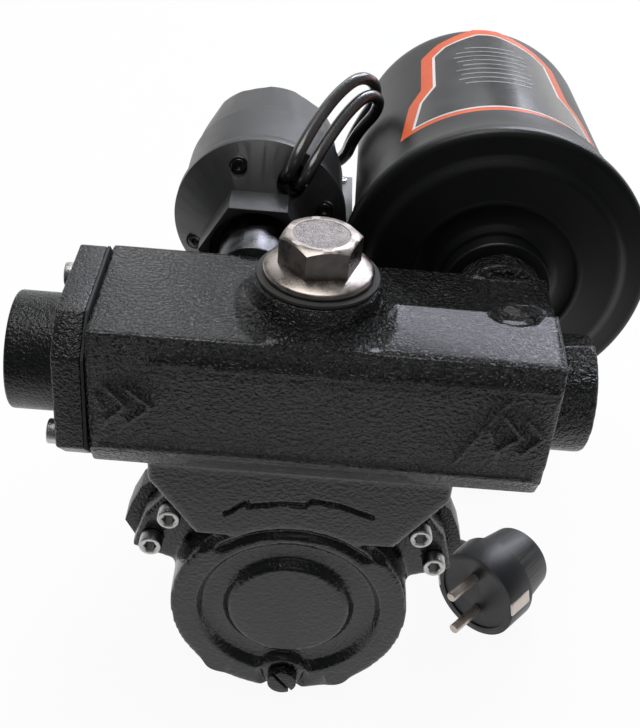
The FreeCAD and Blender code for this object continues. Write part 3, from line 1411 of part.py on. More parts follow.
def make_mains_plug():
    here = (ZERO, ZERO)
    depth = S.plug_depth
    arm_depth = plug_arm_depth
    body = fuse(
        rod("z", -S.plug_front_depth, ZERO, here, S.plug_radius - 0.5),
        taper("z", -depth, -S.plug_front_depth + 0.1, here, S.plug_back_radius - 3, S.plug_back_radius),
        rod("y", ZERO, S.plug_arm_reach, (ZERO, arm_depth), S.plug_arm_radius))
    recess = rod("z", as_size(-1), as_size(1), here, S.plug_radius - 4)
    pins_at = [(side * S.pin_pitch / 2, ZERO) for side in (-1, 1)]
    pin_holes = [rod("z", as_size(-9), as_size(1), at, S.pin_radius + S.fit) for at in pins_at]
    clip_reach = S.plug_radius - 0.5
    slots = [block((-S.clip_width / 2 - 0.1, side_low, -S.clip_length),
                   (S.clip_width / 2 + 0.1, side_high, as_size(1)))
             for side_low, side_high in ((-clip_reach - 1, -clip_reach + S.clip_thickness + 0.1),
                                         (clip_reach - S.clip_thickness - 0.1, clip_reach + 1))]
    node(laid(cut(body, recess, *pin_holes, *slots)), "mains_plug")
    pins = [rod("z", as_size(-8), as_size(-1) + S.pin_length, at, S.pin_radius) for at in pins_at]
    clips = [block((-S.clip_width / 2, low, -S.clip_length + 0.2),
                   (S.clip_width / 2, low + S.clip_thickness, ZERO))
             for low in (-clip_reach, clip_reach - S.clip_thickness)]
    node(laid(group(*pins, *clips)), "plug_contacts")
    boot_end = S.plug_arm_reach + S.boot_length
    boot = taper("y", S.plug_arm_reach, boot_end, (ZERO, arm_depth), S.boot_radius, S.boot_end_radius)
    node(laid(boot), "plug_strain_relief")


make_pump_body()
make_suction_flange()
make_check_valve()
make_filler_plug()
make_drain_plug()
make_casing_screws()
make_rotor()
make_bearings()
make_bracket()
make_housing()
make_stator()
make_rear_shield()
make_fan_cover()
make_tie_bolts()
make_foot()
make_terminal_box()
make_glands()
make_tank()
make_switch()
make_switch_works()
make_leads()
make_mains_plug()
doc.recompute()

faults = [f"{obj.Label}: {obj.State}" for obj in doc.Objects
          if "Invalid" in obj.State or "Error" in obj.State]
for piece in nodes:
    if piece.Shape.isNull() or not piece.Shape.isValid() or not piece.Shape.Solids:
        faults.append(f"{piece.Label}: bad shape")
if faults:
    raise RuntimeError("; ".join(faults))

os.makedirs("parts", exist_ok=True)
for piece in nodes:
    piece.Shape.exportStep(os.path.join("parts", f"{piece.Label}.step"))
print(len(nodes), "pieces")
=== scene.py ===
# %% [markdown]
# # A household booster pump
#
# The real object is a small self-priming pump: a rough cast head with its valve
# chamber across the front, a motor behind it, and a pressure switch and a small
# pressure tank screwed into the chamber's back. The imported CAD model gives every
# piece its place, so the lesson is about form and finish.

# %% Load the measured model
import json
from math import atan2, cos, degrees, hypot, pi, radians, sin

import bmesh
import bpy
from mathutils import Matrix, Vector


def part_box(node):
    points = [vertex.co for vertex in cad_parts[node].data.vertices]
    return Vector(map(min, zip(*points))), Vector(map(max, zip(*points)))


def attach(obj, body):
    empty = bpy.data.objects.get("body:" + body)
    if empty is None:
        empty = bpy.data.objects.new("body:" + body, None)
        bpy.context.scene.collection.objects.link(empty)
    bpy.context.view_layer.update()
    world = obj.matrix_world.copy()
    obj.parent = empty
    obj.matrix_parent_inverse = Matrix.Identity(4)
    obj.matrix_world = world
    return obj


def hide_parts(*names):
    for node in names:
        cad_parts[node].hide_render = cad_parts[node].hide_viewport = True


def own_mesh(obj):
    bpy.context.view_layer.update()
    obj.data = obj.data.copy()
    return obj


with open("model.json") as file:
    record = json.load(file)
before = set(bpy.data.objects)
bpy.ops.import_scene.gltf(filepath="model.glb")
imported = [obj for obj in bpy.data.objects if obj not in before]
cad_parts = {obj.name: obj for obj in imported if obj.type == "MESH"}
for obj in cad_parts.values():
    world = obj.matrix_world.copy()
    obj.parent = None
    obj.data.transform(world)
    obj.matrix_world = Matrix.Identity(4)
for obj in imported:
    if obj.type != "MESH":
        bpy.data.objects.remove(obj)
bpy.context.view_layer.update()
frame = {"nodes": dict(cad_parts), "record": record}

# %% [markdown]
# ## The camera
#
# A photographer stood in front of the pump and looked down at it by about
# thirty-five degrees, a little from the left. Three directions say it all:
# where the camera's right, up and back point. They are the columns of its
# rotation, which is easier to read than three Euler angles.


# %% Camera
def placed(name, data):
    """An object in the scene that shows the given data."""
    thing = bpy.data.objects.new(name, data)
    bpy.context.collection.objects.link(thing)
    return thing


camera = placed("camera", bpy.data.cameras.new("camera"))
camera_axes = Matrix(((0.9965, -0.0800, -0.0260), (0.0253, 0.5804, -0.8139), (0.0802, 0.8104, 0.5804)))
camera.matrix_world = Matrix.Translation((-0.00781, -0.47813, 0.44017)) @ camera_axes.to_4x4()
camera.data.lens = 57.16
camera.data.sensor_width = 36.0
bpy.context.scene.camera = camera
print("camera at", [round(v, 3) for v in camera.location])

# %% [markdown]
# ## Cords
#
# Two round leads run from the pressure switch over to the motor's terminal box,
# and a mains lead drops from the same box to the ground. A cord is one smooth
# line with a round section, so a NURBS curve with a bevel is the plainest way:
# the route's few points pull on it as gravity and the clamps do.


# %% Helpers for cords
def metres(points):
    """Points typed in millimetres, turned into metres."""
    return [tuple(round(value / 1000, 7) for value in point) for point in points]


def cord_curve(name, points, diameter, nodes):
    curve = bpy.data.curves.new(name, "CURVE")
    curve.dimensions = "3D"
    spline = curve.splines.new("NURBS")
    spline.points.add(len(points) - 1)
    for point, at in zip(spline.points, points):
        point.co = (at[0], at[1], at[2], 1.0)
        point.radius = diameter / 2
    spline.order_u = 3
    spline.use_endpoint_u = True
    spline.resolution_u = 6
    curve.bevel_depth = 1.0
    curve.bevel_resolution = 5
    curve.use_fill_caps = True
    piece = placed(name, curve)
    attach(piece, "pump")
    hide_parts(*nodes)
    print(name, len(points), "points")
    return piece


# %% The two switch leads
lead_a_route = metres([
    (-16.6, -30, 216.2), (-14.2, -38.5, 222.5), (-11.5, -35.5, 231), (-4.5, -18, 239), (4, -2, 245.8),
    (13, 10, 249), (20.5, 20.5, 242.5), (22, 27.5, 231), (17, 34.5, 218), (13.2, 43, 204), (11.5, 54, 191),
    (8, 61.5, 183), (5, 66, 174.5), (5, 66, 164.5),
])
lead_b_route = metres([
    (-11.7, -30, 213.5), (-8.5, -38.5, 218), (-5.5, -36.5, 226), (1.5, -20, 233), (9.5, -4, 239.2),
    (17, 7.5, 242), (23, 15.5, 237), (22.4, 20.5, 228), (17, 27, 217.5), (13.4, 35, 206), (11.8, 43, 195),
    (7, 52, 186), (1.5, 61.5, 181.5), (-1, 66, 174.5), (-1, 66, 164.5),
])
lead_a = cord_curve("lead_a", lead_a_route, 0.0055,
                    ["switch_lead_a"])
lead_b = cord_curve("lead_b", lead_b_route, 0.0055,
                    ["switch_lead_b"])

# %% [markdown]
# The mains lead is a metre and a half long, and most of it is put away as for
# storage: five turns wound on one another behind the tank, held by a strap. The
# turns are more points of the same curve. Each turn's points stand a little
# outside its circle, because the curve cuts inside its control points.

# %% The mains lead with its coil
mains_diameter = 0.007
upper_route = metres([
    (45, 80, 124.5), (56, 80, 124.5), (65.5, 82, 117), (69, 88, 99), (68.5, 95, 77), (67.5, 103, 57),
    (69, 109.5, 40), (71, 107, 28), (71, 96, 24.8), (71.5, 86, 24.6),
])
lower_route = metres([
    (62, 62.8, 3.6), (66, 52.5, 3.6), (66, 41, 3.6), (63, 29.5, 3.6), (57.6, 18.3, 3.6), (55.2, 2.5, 3.8),
    (56.4, -11.4, 5), (61.6, -22.9, 7.2), (70.5, -30.9, 10.3),
])
coil_x, coil_y = 0.107, 0.084
inner_turn, outer_turn = 0.0355, 0.0425
layer_top, layer_middle, layer_bottom = 0.0177, 0.0107, 0.0037
# Where along the winding (degrees from +X, counter-clockwise) the turns change radius and layer
winding = [
    (196, inner_turn, layer_top + 0.005), (240, inner_turn, layer_top), (480, inner_turn, layer_top),
    (540, outer_turn, layer_top), (780, outer_turn, layer_top), (840, outer_turn, layer_middle),
    (1080, outer_turn, layer_middle), (1140, inner_turn, layer_middle), (1380, inner_turn, layer_middle),
    (1440, inner_turn, layer_bottom), (1740, inner_turn, layer_bottom), (1800, outer_turn, layer_bottom),
    (1995, outer_turn, layer_bottom),
]
turn_step = 22.5
coil_points = []
angle = 200.0
while angle < 1992.0:
    before, after = [(a, b) for a, b in zip(winding, winding[1:]) if a[0] <= angle <= b[0]][0]
    share = (angle - before[0]) / (after[0] - before[0])
    radius = (before[1] + (after[1] - before[1]) * share) / cos(radians(turn_step / 2))
    height = before[2] + (after[2] - before[2]) * share
    coil_points.append((coil_x + radius * cos(radians(angle)), coil_y + radius * sin(radians(angle)), height))
    angle += turn_step
mains_route = upper_route + coil_points + lower_route
mains_cord = cord_curve("mains_cord", mains_route, mains_diameter,
                        ["mains_cord_upper", "mains_cord_coil", "mains_cord_lower"])

# %% [markdown]
# ## Surface effects that several finishes share
#
# Cast paint, moulded plastic, rubber and worn metal differ in colour and gloss,
# but the same few effects sit under all of them: a grain, a slow drift of tone
# and fine lines. Each effect is built once as a node group with named inputs.


# %% Helpers for node groups and nodes
def node_group(name, inputs, outputs):
    group = bpy.data.node_groups.new(name, "ShaderNodeTree")
    for label, kind, default in inputs:
        socket = group.interface.new_socket(label, in_out="INPUT", socket_type=kind)
        if default is not None:
            socket.default_value = default
    for label, kind in outputs:
        group.interface.new_socket(label, in_out="OUTPUT", socket_type=kind)
    start = group.nodes.new("NodeGroupInput")
    end = group.nodes.new("NodeGroupOutput")
    return group, start, end


def add(tree, kind, settings=None, **links):
    """A new node: settings are its own properties, links are its inputs by name."""
    node = tree.nodes.new(kind)
    for key, value in (settings or {}).items():
        setattr(node, key, value)
    for label, value in links.items():
        label = label.replace("_", " ")
        socket = node.inputs[int(label[3:])] if label.startswith("in ") else node.inputs[label]
        if isinstance(value, bpy.types.NodeSocket):
            tree.links.new(value, socket)
        else:
            socket.default_value = value
    return node


def maths(tree, operation, *values):
    """The result of one arithmetic node."""
    numbered = {f"in_{place}": value for place, value in enumerate(values)}
    return add(tree, "ShaderNodeMath", {"operation": operation}, **numbered).outputs[0]


def remap(tree, value, start=0.0, end=1.0, low=0.0, high=1.0, soft=False):
    """Carries a value from start..end over to low..high, with soft ends where asked."""
    kind = {"interpolation_type": "SMOOTHSTEP" if soft else "LINEAR"}
    return add(tree, "ShaderNodeMapRange", kind, in_0=value, in_1=start, in_2=end, in_3=low,
               in_4=high).outputs[0]


def between(tree, share, first, second):
    """A colour between two."""
    return add(tree, "ShaderNodeMix", {"data_type": "RGBA"}, in_0=share, in_6=first,
               in_7=second).outputs[2]


FLOAT, VECTOR, COLOR = "NodeSocketFloat", "NodeSocketVector", "NodeSocketColor"

# %% [markdown]
# **Cast grain.** Sand leaves close, worm-like hills about a millimetre apart.
# Two noises of unlike size are added, and a second, slower noise makes the
# grain stronger in some places than in others, as on the real head.

# %% Cast grain group
grain_group, start, end = node_group(
    "cast grain", [("Position", VECTOR, None), ("Grains per metre", FLOAT, 700.0),
                   ("Patchiness", FLOAT, 0.5)], [("Height", FLOAT)])
position, size = start.outputs["Position"], start.outputs["Grains per metre"]
coarse = add(grain_group, "ShaderNodeTexNoise", Vector=position, Scale=size, Detail=2.0, Roughness=0.5,
             Distortion=0.35)
fine = add(grain_group, "ShaderNodeTexNoise", Vector=position,
           Scale=maths(grain_group, "MULTIPLY", size, 2.7), Detail=1.0, Roughness=0.5)
slow = add(grain_group, "ShaderNodeTexNoise", Vector=position, Scale=38.0, Detail=2.0)
ridge = remap(grain_group, coarse.outputs["Fac"], 0.36, 0.66, soft=True)
patch = remap(grain_group, slow.outputs["Fac"], 0.35, 0.65, 0.35, 1.0)
patchy = add(grain_group, "ShaderNodeMix", {"data_type": "FLOAT"}, in_0=start.outputs["Patchiness"],
             in_2=1.0, in_3=patch)
lift = maths(grain_group, "MULTIPLY", ridge, patchy.outputs[0])
height = maths(grain_group, "MULTIPLY_ADD", fine.outputs["Fac"], 0.25, lift)
grain_group.links.new(height, end.inputs["Height"])
print("cast grain:", len(grain_group.nodes), "nodes")

# %% [markdown]
# **Tone drift.** No painted or moulded surface is one even colour. This group
# drifts between two colours, and gives the same drift as a plain value.

# %% Tone drift group
drift_group, start, end = node_group(
    "tone drift", [("Position", VECTOR, None), ("Patches per metre", FLOAT, 30.0),
                   ("Dark", COLOR, (0, 0, 0, 1)), ("Light", COLOR, (1, 1, 1, 1)),
                   ("Low", FLOAT, 0.3), ("High", FLOAT, 0.5)], [("Color", COLOR), ("Value", FLOAT)])
drift = add(drift_group, "ShaderNodeTexNoise", Vector=start.outputs["Position"],
            Scale=start.outputs["Patches per metre"], Detail=5.0, Roughness=0.6)
even = remap(drift_group, drift.outputs["Fac"], 0.32, 0.68)
tone = between(drift_group, even, start.outputs["Dark"], start.outputs["Light"])
value = remap(drift_group, even, 0.0, 1.0, start.outputs["Low"], start.outputs["High"])
drift_group.links.new(tone, end.inputs["Color"])
drift_group.links.new(value, end.inputs["Value"])
print("tone drift:", len(drift_group.nodes), "nodes")

# %% [markdown]
# **Fine lines.** Turned, drawn and brushed metal carries lines along one way.
# Squeezing a noise along that way draws them.

# %% Fine lines group
lines_group, start, end = node_group(
    "fine lines", [("Position", VECTOR, None), ("Squeeze", VECTOR, (1.0, 1.0, 0.05)),
                   ("Lines per metre", FLOAT, 900.0)], [("Height", FLOAT)])
squeezed = add(lines_group, "ShaderNodeVectorMath", {"operation": "MULTIPLY"},
               in_0=start.outputs["Position"], in_1=start.outputs["Squeeze"])
lines = add(lines_group, "ShaderNodeTexNoise", Vector=squeezed.outputs[0],
            Scale=start.outputs["Lines per metre"], Detail=3.0, Roughness=0.7)
lines_group.links.new(lines.outputs["Fac"], end.inputs["Height"])
print("fine lines:", len(lines_group.nodes), "nodes")

# %% [markdown]
# ## Finishes
#
# Every finish starts from the same three nodes, so a helper lays them out:
# object coordinates, a Principled shader and a tone drift for its colour and
# roughness. What makes each finish its own is added after it.


# %% A helper for finishes
def finish(name, dark, light, low, high, patches=30.0, metallic=0.0, specular=0.5, coat=0.0,
           coat_roughness=0.1):
    material = bpy.data.materials.new(name)
    material.use_nodes = True
    tree = material.node_tree
    shader = tree.nodes["Principled BSDF"]
    shader.inputs["Metallic"].default_value = metallic
    shader.inputs["Specular IOR Level"].default_value = specular
    shader.inputs["Coat Weight"].default_value = coat
    shader.inputs["Coat Roughness"].default_value = coat_roughness
    place = tree.nodes.new("ShaderNodeTexCoord").outputs["Object"]
    tones = add(tree, "ShaderNodeGroup", {"node_tree": drift_group}, Position=place,
                Patches_per_metre=patches, Dark=(*dark, 1.0), Light=(*light, 1.0), Low=low, High=high)
    tree.links.new(tones.outputs["Color"], shader.inputs["Base Color"])
    tree.links.new(tones.outputs["Value"], shader.inputs["Roughness"])
    return material, tree, shader, place


def emboss(tree, shader, height, distance, strength=1.0):
    """Feeds a height into the shader's normal."""
    bump = add(tree, "ShaderNodeBump", Height=height, Distance=distance, Strength=strength)
    tree.links.new(bump.outputs["Normal"], shader.inputs["Normal"])
    return bump


def grain(tree, place, per_metre, patchiness=0.5):
    return add(tree, "ShaderNodeGroup", {"node_tree": grain_group}, Position=place,
               Grains_per_metre=per_metre, Patchiness=patchiness)


# %% Black cast paint, for the head
cast_black, tree, shader, place = finish("black_cast_paint", (0.0028, 0.0032, 0.0030),
                                         (0.0075, 0.0082, 0.0076), 0.18, 0.28, patches=55.0, coat=0.2)
worms = grain(tree, place, 620.0, 0.6)
axes = add(tree, "ShaderNodeSeparateXYZ", in_0=place)
# The chamber is coarse; the web and the casing below it came out of a smoother part of the mould
coarseness = remap(tree, axes.outputs["Z"], 0.138, 0.147, 0.12, 1.0)
emboss(tree, shader, maths(tree, "MULTIPLY", worms.outputs["Height"], coarseness), 0.00120)

# %% [markdown]
# The other finishes differ in colour, gloss and size of grain, but not in how
# they are built. One helper makes a surface with nothing but a grain on it, and
# one makes metal that was turned or drawn, with lines along one way.


# %% Helpers for grained surfaces and drawn metal
def grained(name, dark, light, low, high, patches, grains, depth, patchiness=0.4, **look):
    material, tree, shader, place = finish(name, dark, light, low, high, patches=patches, **look)
    spark = grain(tree, place, grains, patchiness)
    emboss(tree, shader, spark.outputs["Height"], depth)
    return material


def drawn_metal(name, dark, light, low, high, patches, squeeze, lines, depth, metallic=1.0):
    material, tree, shader, place = finish(name, dark, light, low, high, patches=patches,
                                           metallic=metallic)
    drawn = add(tree, "ShaderNodeGroup", {"node_tree": lines_group}, Position=place,
                Squeeze=squeeze, Lines_per_metre=lines)
    emboss(tree, shader, drawn.outputs["Height"], depth)
    return material


# %% Paint, plastic and rubber on the outside
cast_smooth = grained("black_paint_smooth", (0.0032, 0.0036, 0.0036), (0.008, 0.0085, 0.0082),
                      0.24, 0.36, 60.0, 820.0, 0.00030, 0.9)
tank_satin = grained("tank_powder_coat", (0.0038, 0.0042, 0.0048), (0.0060, 0.0064, 0.0070),
                     0.34, 0.40, 14.0, 1700.0, 0.00002, 0.2, specular=0.36)
switch_grey = grained("switch_moulding", (0.016, 0.0165, 0.0175), (0.025, 0.0255, 0.027),
                      0.30, 0.42, 40.0, 2600.0, 0.00003, 0.3, specular=0.55)
plastic_black = grained("black_moulding", (0.010, 0.010, 0.011), (0.016, 0.016, 0.017),
                        0.42, 0.55, 35.0, 2400.0, 0.00004, 0.3, specular=0.4)
rubber_black = grained("cord_sheath", (0.020, 0.020, 0.021), (0.036, 0.036, 0.037),
                       0.18, 0.28, 90.0, 1900.0, 0.00002, 0.3, specular=0.6, coat=0.5)
motor_black = grained("black_die_casting", (0.008, 0.008, 0.0085), (0.016, 0.016, 0.017),
                      0.36, 0.52, 45.0, 1300.0, 0.00008, 0.6)

# %% Bare and plated metal on the outside
stainless = drawn_metal("stainless_steel", (0.21, 0.185, 0.168), (0.38, 0.34, 0.315),
                        0.22, 0.40, 130.0, (1.0, 1.0, 0.06), 1500.0, 0.00004)
zinc = grained("zinc_plate", (0.42, 0.42, 0.41), (0.66, 0.66, 0.65),
               0.22, 0.40, 210.0, 1800.0, 0.00004, 0.5, metallic=1.0)
nickel = drawn_metal("nickel_plate", (0.70, 0.60, 0.52), (0.84, 0.74, 0.66),
                     0.24, 0.38, 160.0, (0.2, 0.2, 1.0), 1600.0, 0.00003, metallic=0.6)
steel_dark = drawn_metal("blackened_steel", (0.045, 0.047, 0.050), (0.13, 0.13, 0.135),
                         0.20, 0.38, 150.0, (1.0, 0.05, 1.0), 1100.0, 0.00008)

# %% [markdown]
# Most of the inside never shows, but the part is taken apart in use, so brass,
# steel, copper, carbon and fibre get their own finishes. A table gives each
# one's slot in the record, name, two colours, roughness from and to, patches
# and grains per metre, depth of grain in metres, and how metallic it is.

# %% Inner finishes
inner_finishes = [
    ("brass_part", "cast_brass", (0.50, 0.33, 0.13), (0.66, 0.46, 0.20),
     0.26, 0.42, 120.0, 1400.0, 0.00005, 1.0),
    ("valve_plastic", "valve_moulding", (0.55, 0.55, 0.52), (0.68, 0.68, 0.64),
     0.35, 0.5, 60.0, 2200.0, 0.00002, 0.0),
    ("ceramic", "seal_ceramic", (0.72, 0.70, 0.64), (0.82, 0.80, 0.75),
     0.18, 0.28, 80.0, 2600.0, 0.00001, 0.0),
    ("core_steel", "lamination_steel", (0.20, 0.20, 0.21), (0.32, 0.32, 0.33),
     0.34, 0.5, 150.0, 1600.0, 0.00004, 1.0),
    ("copper_winding", "copper_winding", (0.45, 0.17, 0.07), (0.62, 0.26, 0.12),
     0.30, 0.45, 200.0, 1200.0, 0.0001, 1.0),
    ("ground_steel", "ground_steel", (0.50, 0.50, 0.51), (0.66, 0.66, 0.67),
     0.14, 0.26, 160.0, 2400.0, 0.00001, 1.0),
    ("grey_fibre", "gasket_fibre", (0.022, 0.022, 0.022), (0.045, 0.045, 0.043),
     0.65, 0.85, 90.0, 1500.0, 0.00005, 0.0),
    ("black_sheet", "black_sheet_steel", (0.009, 0.009, 0.010), (0.016, 0.016, 0.017),
     0.38, 0.52, 30.0, 1700.0, 0.00003, 0.0),
    ("grey_plastic", "grey_moulding", (0.20, 0.20, 0.21), (0.27, 0.27, 0.28),
     0.42, 0.55, 40.0, 2300.0, 0.00003, 0.0),
    ("pale_case", "capacitor_case", (0.55, 0.54, 0.50), (0.66, 0.65, 0.61),
     0.40, 0.52, 50.0, 2200.0, 0.00002, 0.0),
]
finish_of_slot = {
    "black_casting": cast_smooth, "zinc_plated": zinc, "stainless": stainless,
    "black_rubber": rubber_black, "black_aluminium": motor_black,
    "black_plastic": plastic_black, "switch_plastic": switch_grey, "nickel": nickel,
}
for slot, name, dark, light, low, high, patches, grains, depth, metallic in inner_finishes:
    finish_of_slot[slot] = grained(name, dark, light, low, high, patches, grains, depth,
                                   metallic=metallic)
print(len(finish_of_slot), "finishes for the record's slots")

# %% [markdown]
# Every CAD node gets its slot's finish now.

# %% Each CAD node gets the finish of its slot
slot_of_node = {row["node"]: row["material_slot"] for row in frame["record"]["subparts"]}
for name, node in frame["nodes"].items():
    node.data.materials.clear()
    node.data.materials.append(finish_of_slot[slot_of_node[name]])
for cord in (lead_a, lead_b, mains_cord):
    cord.data.materials.append(rubber_black)
print(len(slot_of_node), "CAD nodes have finishes")

# %% [markdown]
# ## Making pieces
#
# A bmesh holds a shape while it is made. These helpers spin a profile about an
# axis, take a merged copy of a CAD piece, round its edges, and turn the result
# into a piece that rides on its body.

# %% Helpers for pieces
X, Y, Z = Vector((1, 0, 0)), Vector((0, 1, 0)), Vector((0, 0, 1))


def mesh_from(bm, name):
    mesh = bpy.data.meshes.new(name)
    bm.to_mesh(mesh)
    bm.free()
    return mesh


def soften(bm, verts, factor, along_y=True):
    """Moves points towards their neighbours, along Y too unless that is left out."""
    bmesh.ops.smooth_vert(bm, verts=verts, factor=factor, use_axis_x=True, use_axis_y=along_y, use_axis_z=True)


def span(verts):
    """The lowest and the highest corner of some points' box."""
    return [Vector([pick(vert.co[i] for vert in verts) for i in range(3)]) for pick in (min, max)]


def piece_from(bm, name, body, slot, finishes, replaced=(), crease=34.0):
    mesh = mesh_from(bm, name)
    for face in mesh.polygons:
        face.use_smooth = True
    mesh.set_sharp_from_angle(angle=radians(crease))
    for one in finishes:
        mesh.materials.append(one)
    piece = placed(name, mesh)
    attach(piece, body)
    if replaced:
        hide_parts(*replaced)
    low, high = span(mesh.vertices)
    print(name, sum(len(face.vertices) - 2 for face in mesh.polygons), "triangles,",
          [round(1000 * side, 1) for side in high - low], "mm")
    return piece


def close_up(bm):
    """Merges doubled points and turns every face outwards."""
    bmesh.ops.remove_doubles(bm, verts=bm.verts, dist=0.000002)
    bmesh.ops.recalc_face_normals(bm, faces=bm.faces)


def lathe(bm, profile, centre, axis, steps=96, close=False):
    """Spins (along, radius) pairs in metres about an axis, and gives the new points."""
    side = X if abs(axis.x) < 0.5 else Z
    points = [bm.verts.new(centre + axis * along + side * radius) for along, radius in profile]
    pairs = list(zip(points, points[1:])) + ([(points[-1], points[0])] if close else [])
    runs = [bm.edges.new(pair) for pair in pairs]
    before = set(bm.verts) - set(points)
    bmesh.ops.spin(bm, geom=points + runs, cent=centre, axis=axis, dvec=(0, 0, 0), angle=2 * pi, steps=steps,
                   use_merge=True, use_normal_flip=False, use_duplicate=False)
    return [v for v in bm.verts if v not in before]


def merged_copy(node):
    bm = bmesh.new()
    bm.from_mesh(frame["nodes"][node].data)
    bmesh.ops.remove_doubles(bm, verts=bm.verts, dist=0.000004)
    return bm


def round_edges(bm, width, segments=2, least=30.0, where=None):
    """Joins flat triangles into whole faces, then rounds the edges between them."""
    bmesh.ops.dissolve_limit(bm, angle_limit=radians(0.8), verts=bm.verts, edges=bm.edges)
    sharp = [edge for edge in bm.edges if len(edge.link_faces) == 2
             and edge.calc_face_angle(0.0) > radians(least)
             and (where is None or where(edge))]
    bmesh.ops.bevel(bm, geom=sharp, offset=width, offset_type="OFFSET", segments=segments, profile=0.5,
                    affect="EDGES", clamp_overlap=True, material=-1)


# %% [markdown]
# ## The cast head
#
# Chamber, web and casing are one iron casting. Sand casting leaves soft edges
# and filled corners everywhere, which no bevel gives on a shape with so many
# meeting forms. So a merged copy of the CAD piece is filled with small voxels,
# smoothed, and only then thinned on its flat faces.

# %% Head: voxels and smoothing
voxel = 0.00125
head = merged_copy("pump_body")
rough = placed("head_rough", mesh_from(head, "head_rough"))
remesh = rough.modifiers.new("voxels", "REMESH")
remesh.mode = "VOXEL"
remesh.voxel_size = voxel
remesh.adaptivity = 0.0
graph = bpy.context.evaluated_depsgraph_get()
voxel_mesh = bpy.data.meshes.new_from_object(rough.evaluated_get(graph))
bpy.data.objects.remove(rough)
head = bmesh.new()
head.from_mesh(voxel_mesh)
for turn in range(5):
    soften(head, head.verts, 0.5)
print("head:", len(head.faces), "voxel faces")

# %% [markdown]
# The pattern has soft forms that matter more to the eye than to the pump. The
# casing's front is a raised disc, a valley and a raised rim. The chamber's top
# has a pad right of the filler boss, a wide fillet round that boss, and a small
# hollow at its right end. They are moved into the smoothed skin here.


# %% Head: the casing's front
def ease(value, start, end):
    """A soft step from 0 at start to 1 at end."""
    share = max(0.0, min(1.0, (value - start) / (end - start)))
    return share * share * (3 - 2 * share)


casing_middle = Vector((0.0, 0.0, 0.060))
drain_middle = Vector((0.0, 0.0, 0.018))
rim_level, valley_level, step_level, cad_level = -0.1317, -0.1276, -0.1292, -0.1290
front_from, front_to = -0.1335, -0.1265
web_foot = 0.094
flat_rim, upper_rim, outer_rim = 0.0425, 0.0500, 0.0530
moved = []
for vert in head.verts:
    reach = hypot(vert.co.x, vert.co.z - casing_middle.z)
    in_front = front_from < vert.co.y < front_to
    # The drain plug's boss is left alone, and its foot runs softly into what is moved
    clear = ease(hypot(vert.co.x, vert.co.z - drain_middle.z), 0.0098, 0.0125)
    below_web = vert.co.z < web_foot
    if in_front and reach < (flat_rim if below_web else upper_rim):
        in_valley = ease(reach, 0.0250, 0.0292) - ease(reach, 0.0368, 0.0408)
        level = rim_level + (valley_level - rim_level) * in_valley
        if vert.co.z > web_foot:
            on_step = ease(reach, 0.0440, 0.0452) - ease(reach, 0.0470, 0.0480)
            level += (step_level - rim_level) * on_step
        vert.co.y += (level - vert.co.y) * clear
        moved.append(vert)
    elif flat_rim <= reach < outer_rim and below_web and rim_level < vert.co.y < front_to:
        # The outer rim keeps its rounding: points on its face go all the way, those on its side less
        shift = (rim_level - cad_level) * ease(-vert.co.y, -front_to, 0.1286)
        vert.co.y = max(rim_level, vert.co.y + shift * clear)
        moved.append(vert)
soften(head, moved, 0.35, along_y=False)
upper = [vert for vert in moved if vert.co.z > web_foot - 0.002]
for turn in range(2):
    soften(head, upper, 0.4)
print("casing front:", len(moved), "points moved")

# %% Head: the chamber's top
boss_middle = Vector((0.0, -0.1130, 0.0))
top_level, boss_rise, boss_radius = 0.2050, 0.0145, 0.0240
on_top = 0.0015
fillet_rise, fillet_reach = 0.0045, 0.0090
pad_rise, pad_slope, pad_hinge = 0.0014, 0.120, 0.1250
hollow_x, hollow_y, hollow_depth = 0.0755, -0.1115, 0.0030
bump_x, bump_y, bump_rise = 0.0790, -0.1000, 0.0022
moved = 0
for vert in head.verts:
    x, y, z = vert.co
    reach = hypot(x - boss_middle.x, y - boss_middle.y)
    if z < top_level - 0.0012 or (z > top_level + on_top and reach > boss_radius + 0.0020):
        continue
    inside = ease(y, -0.1428, -0.1400)
    skirt = (1 - max(0.0, min(1.0, (reach - boss_radius - 0.0003) / fillet_reach))) ** 2
    height = max(0.0, min(1.0, (z - top_level) / boss_rise))
    lift = fillet_rise * (1 - height) * skirt * inside
    if z > top_level + on_top:
        vert.co.z = z + lift
        continue
    pad = ease(x, 0.0225, 0.0240) * (1 - ease(y, -0.1095, -0.1068))
    lift = lift * (1 - pad * 0.4) + pad * (pad_rise + (y + pad_hinge) * pad_slope) * inside
    hollow = hypot((x - hollow_x) / 0.0100, (y - hollow_y) / 0.0048)
    lift -= hollow_depth * (1 - ease(hollow, 0.55, 1.05))
    bump = hypot((x - bump_x) / 0.0110, (y - bump_y) / 0.0070)
    lift += bump_rise * (1 - ease(bump, 0.30, 1.10))
    vert.co.z = z + lift
    moved += 1
print("chamber top:", moved, "points moved")

# %% [markdown]
# The maker's pattern carries plain flow arrows: two chevrons at the inlet, two
# at the outlet, and a line where a pad starts. On the web is the outline of a
# turning arrow. Each stroke is raised or sunk by moving points that lie near it,
# on a finer patch of the casting, so it has the soft flanks of a cast mark.


# %% Head: strokes in the casting
def near_line(x, z, strokes):
    """Distance in metres from (x, z) to the nearest of some lines of (x, z) points in millimetres."""
    best = 1.0
    for stroke in strokes:
        for (ax, az), (bx, bz) in zip(stroke, stroke[1:]):
            ax, az, bx, bz = ax / 1000, az / 1000, bx / 1000, bz / 1000
            run = (bx - ax) ** 2 + (bz - az) ** 2
            share = max(0.0, min(1.0, ((x - ax) * (bx - ax) + (z - az) * (bz - az)) / run))
            best = min(best, hypot(x - ax - share * (bx - ax), z - az - share * (bz - az)))
    return best


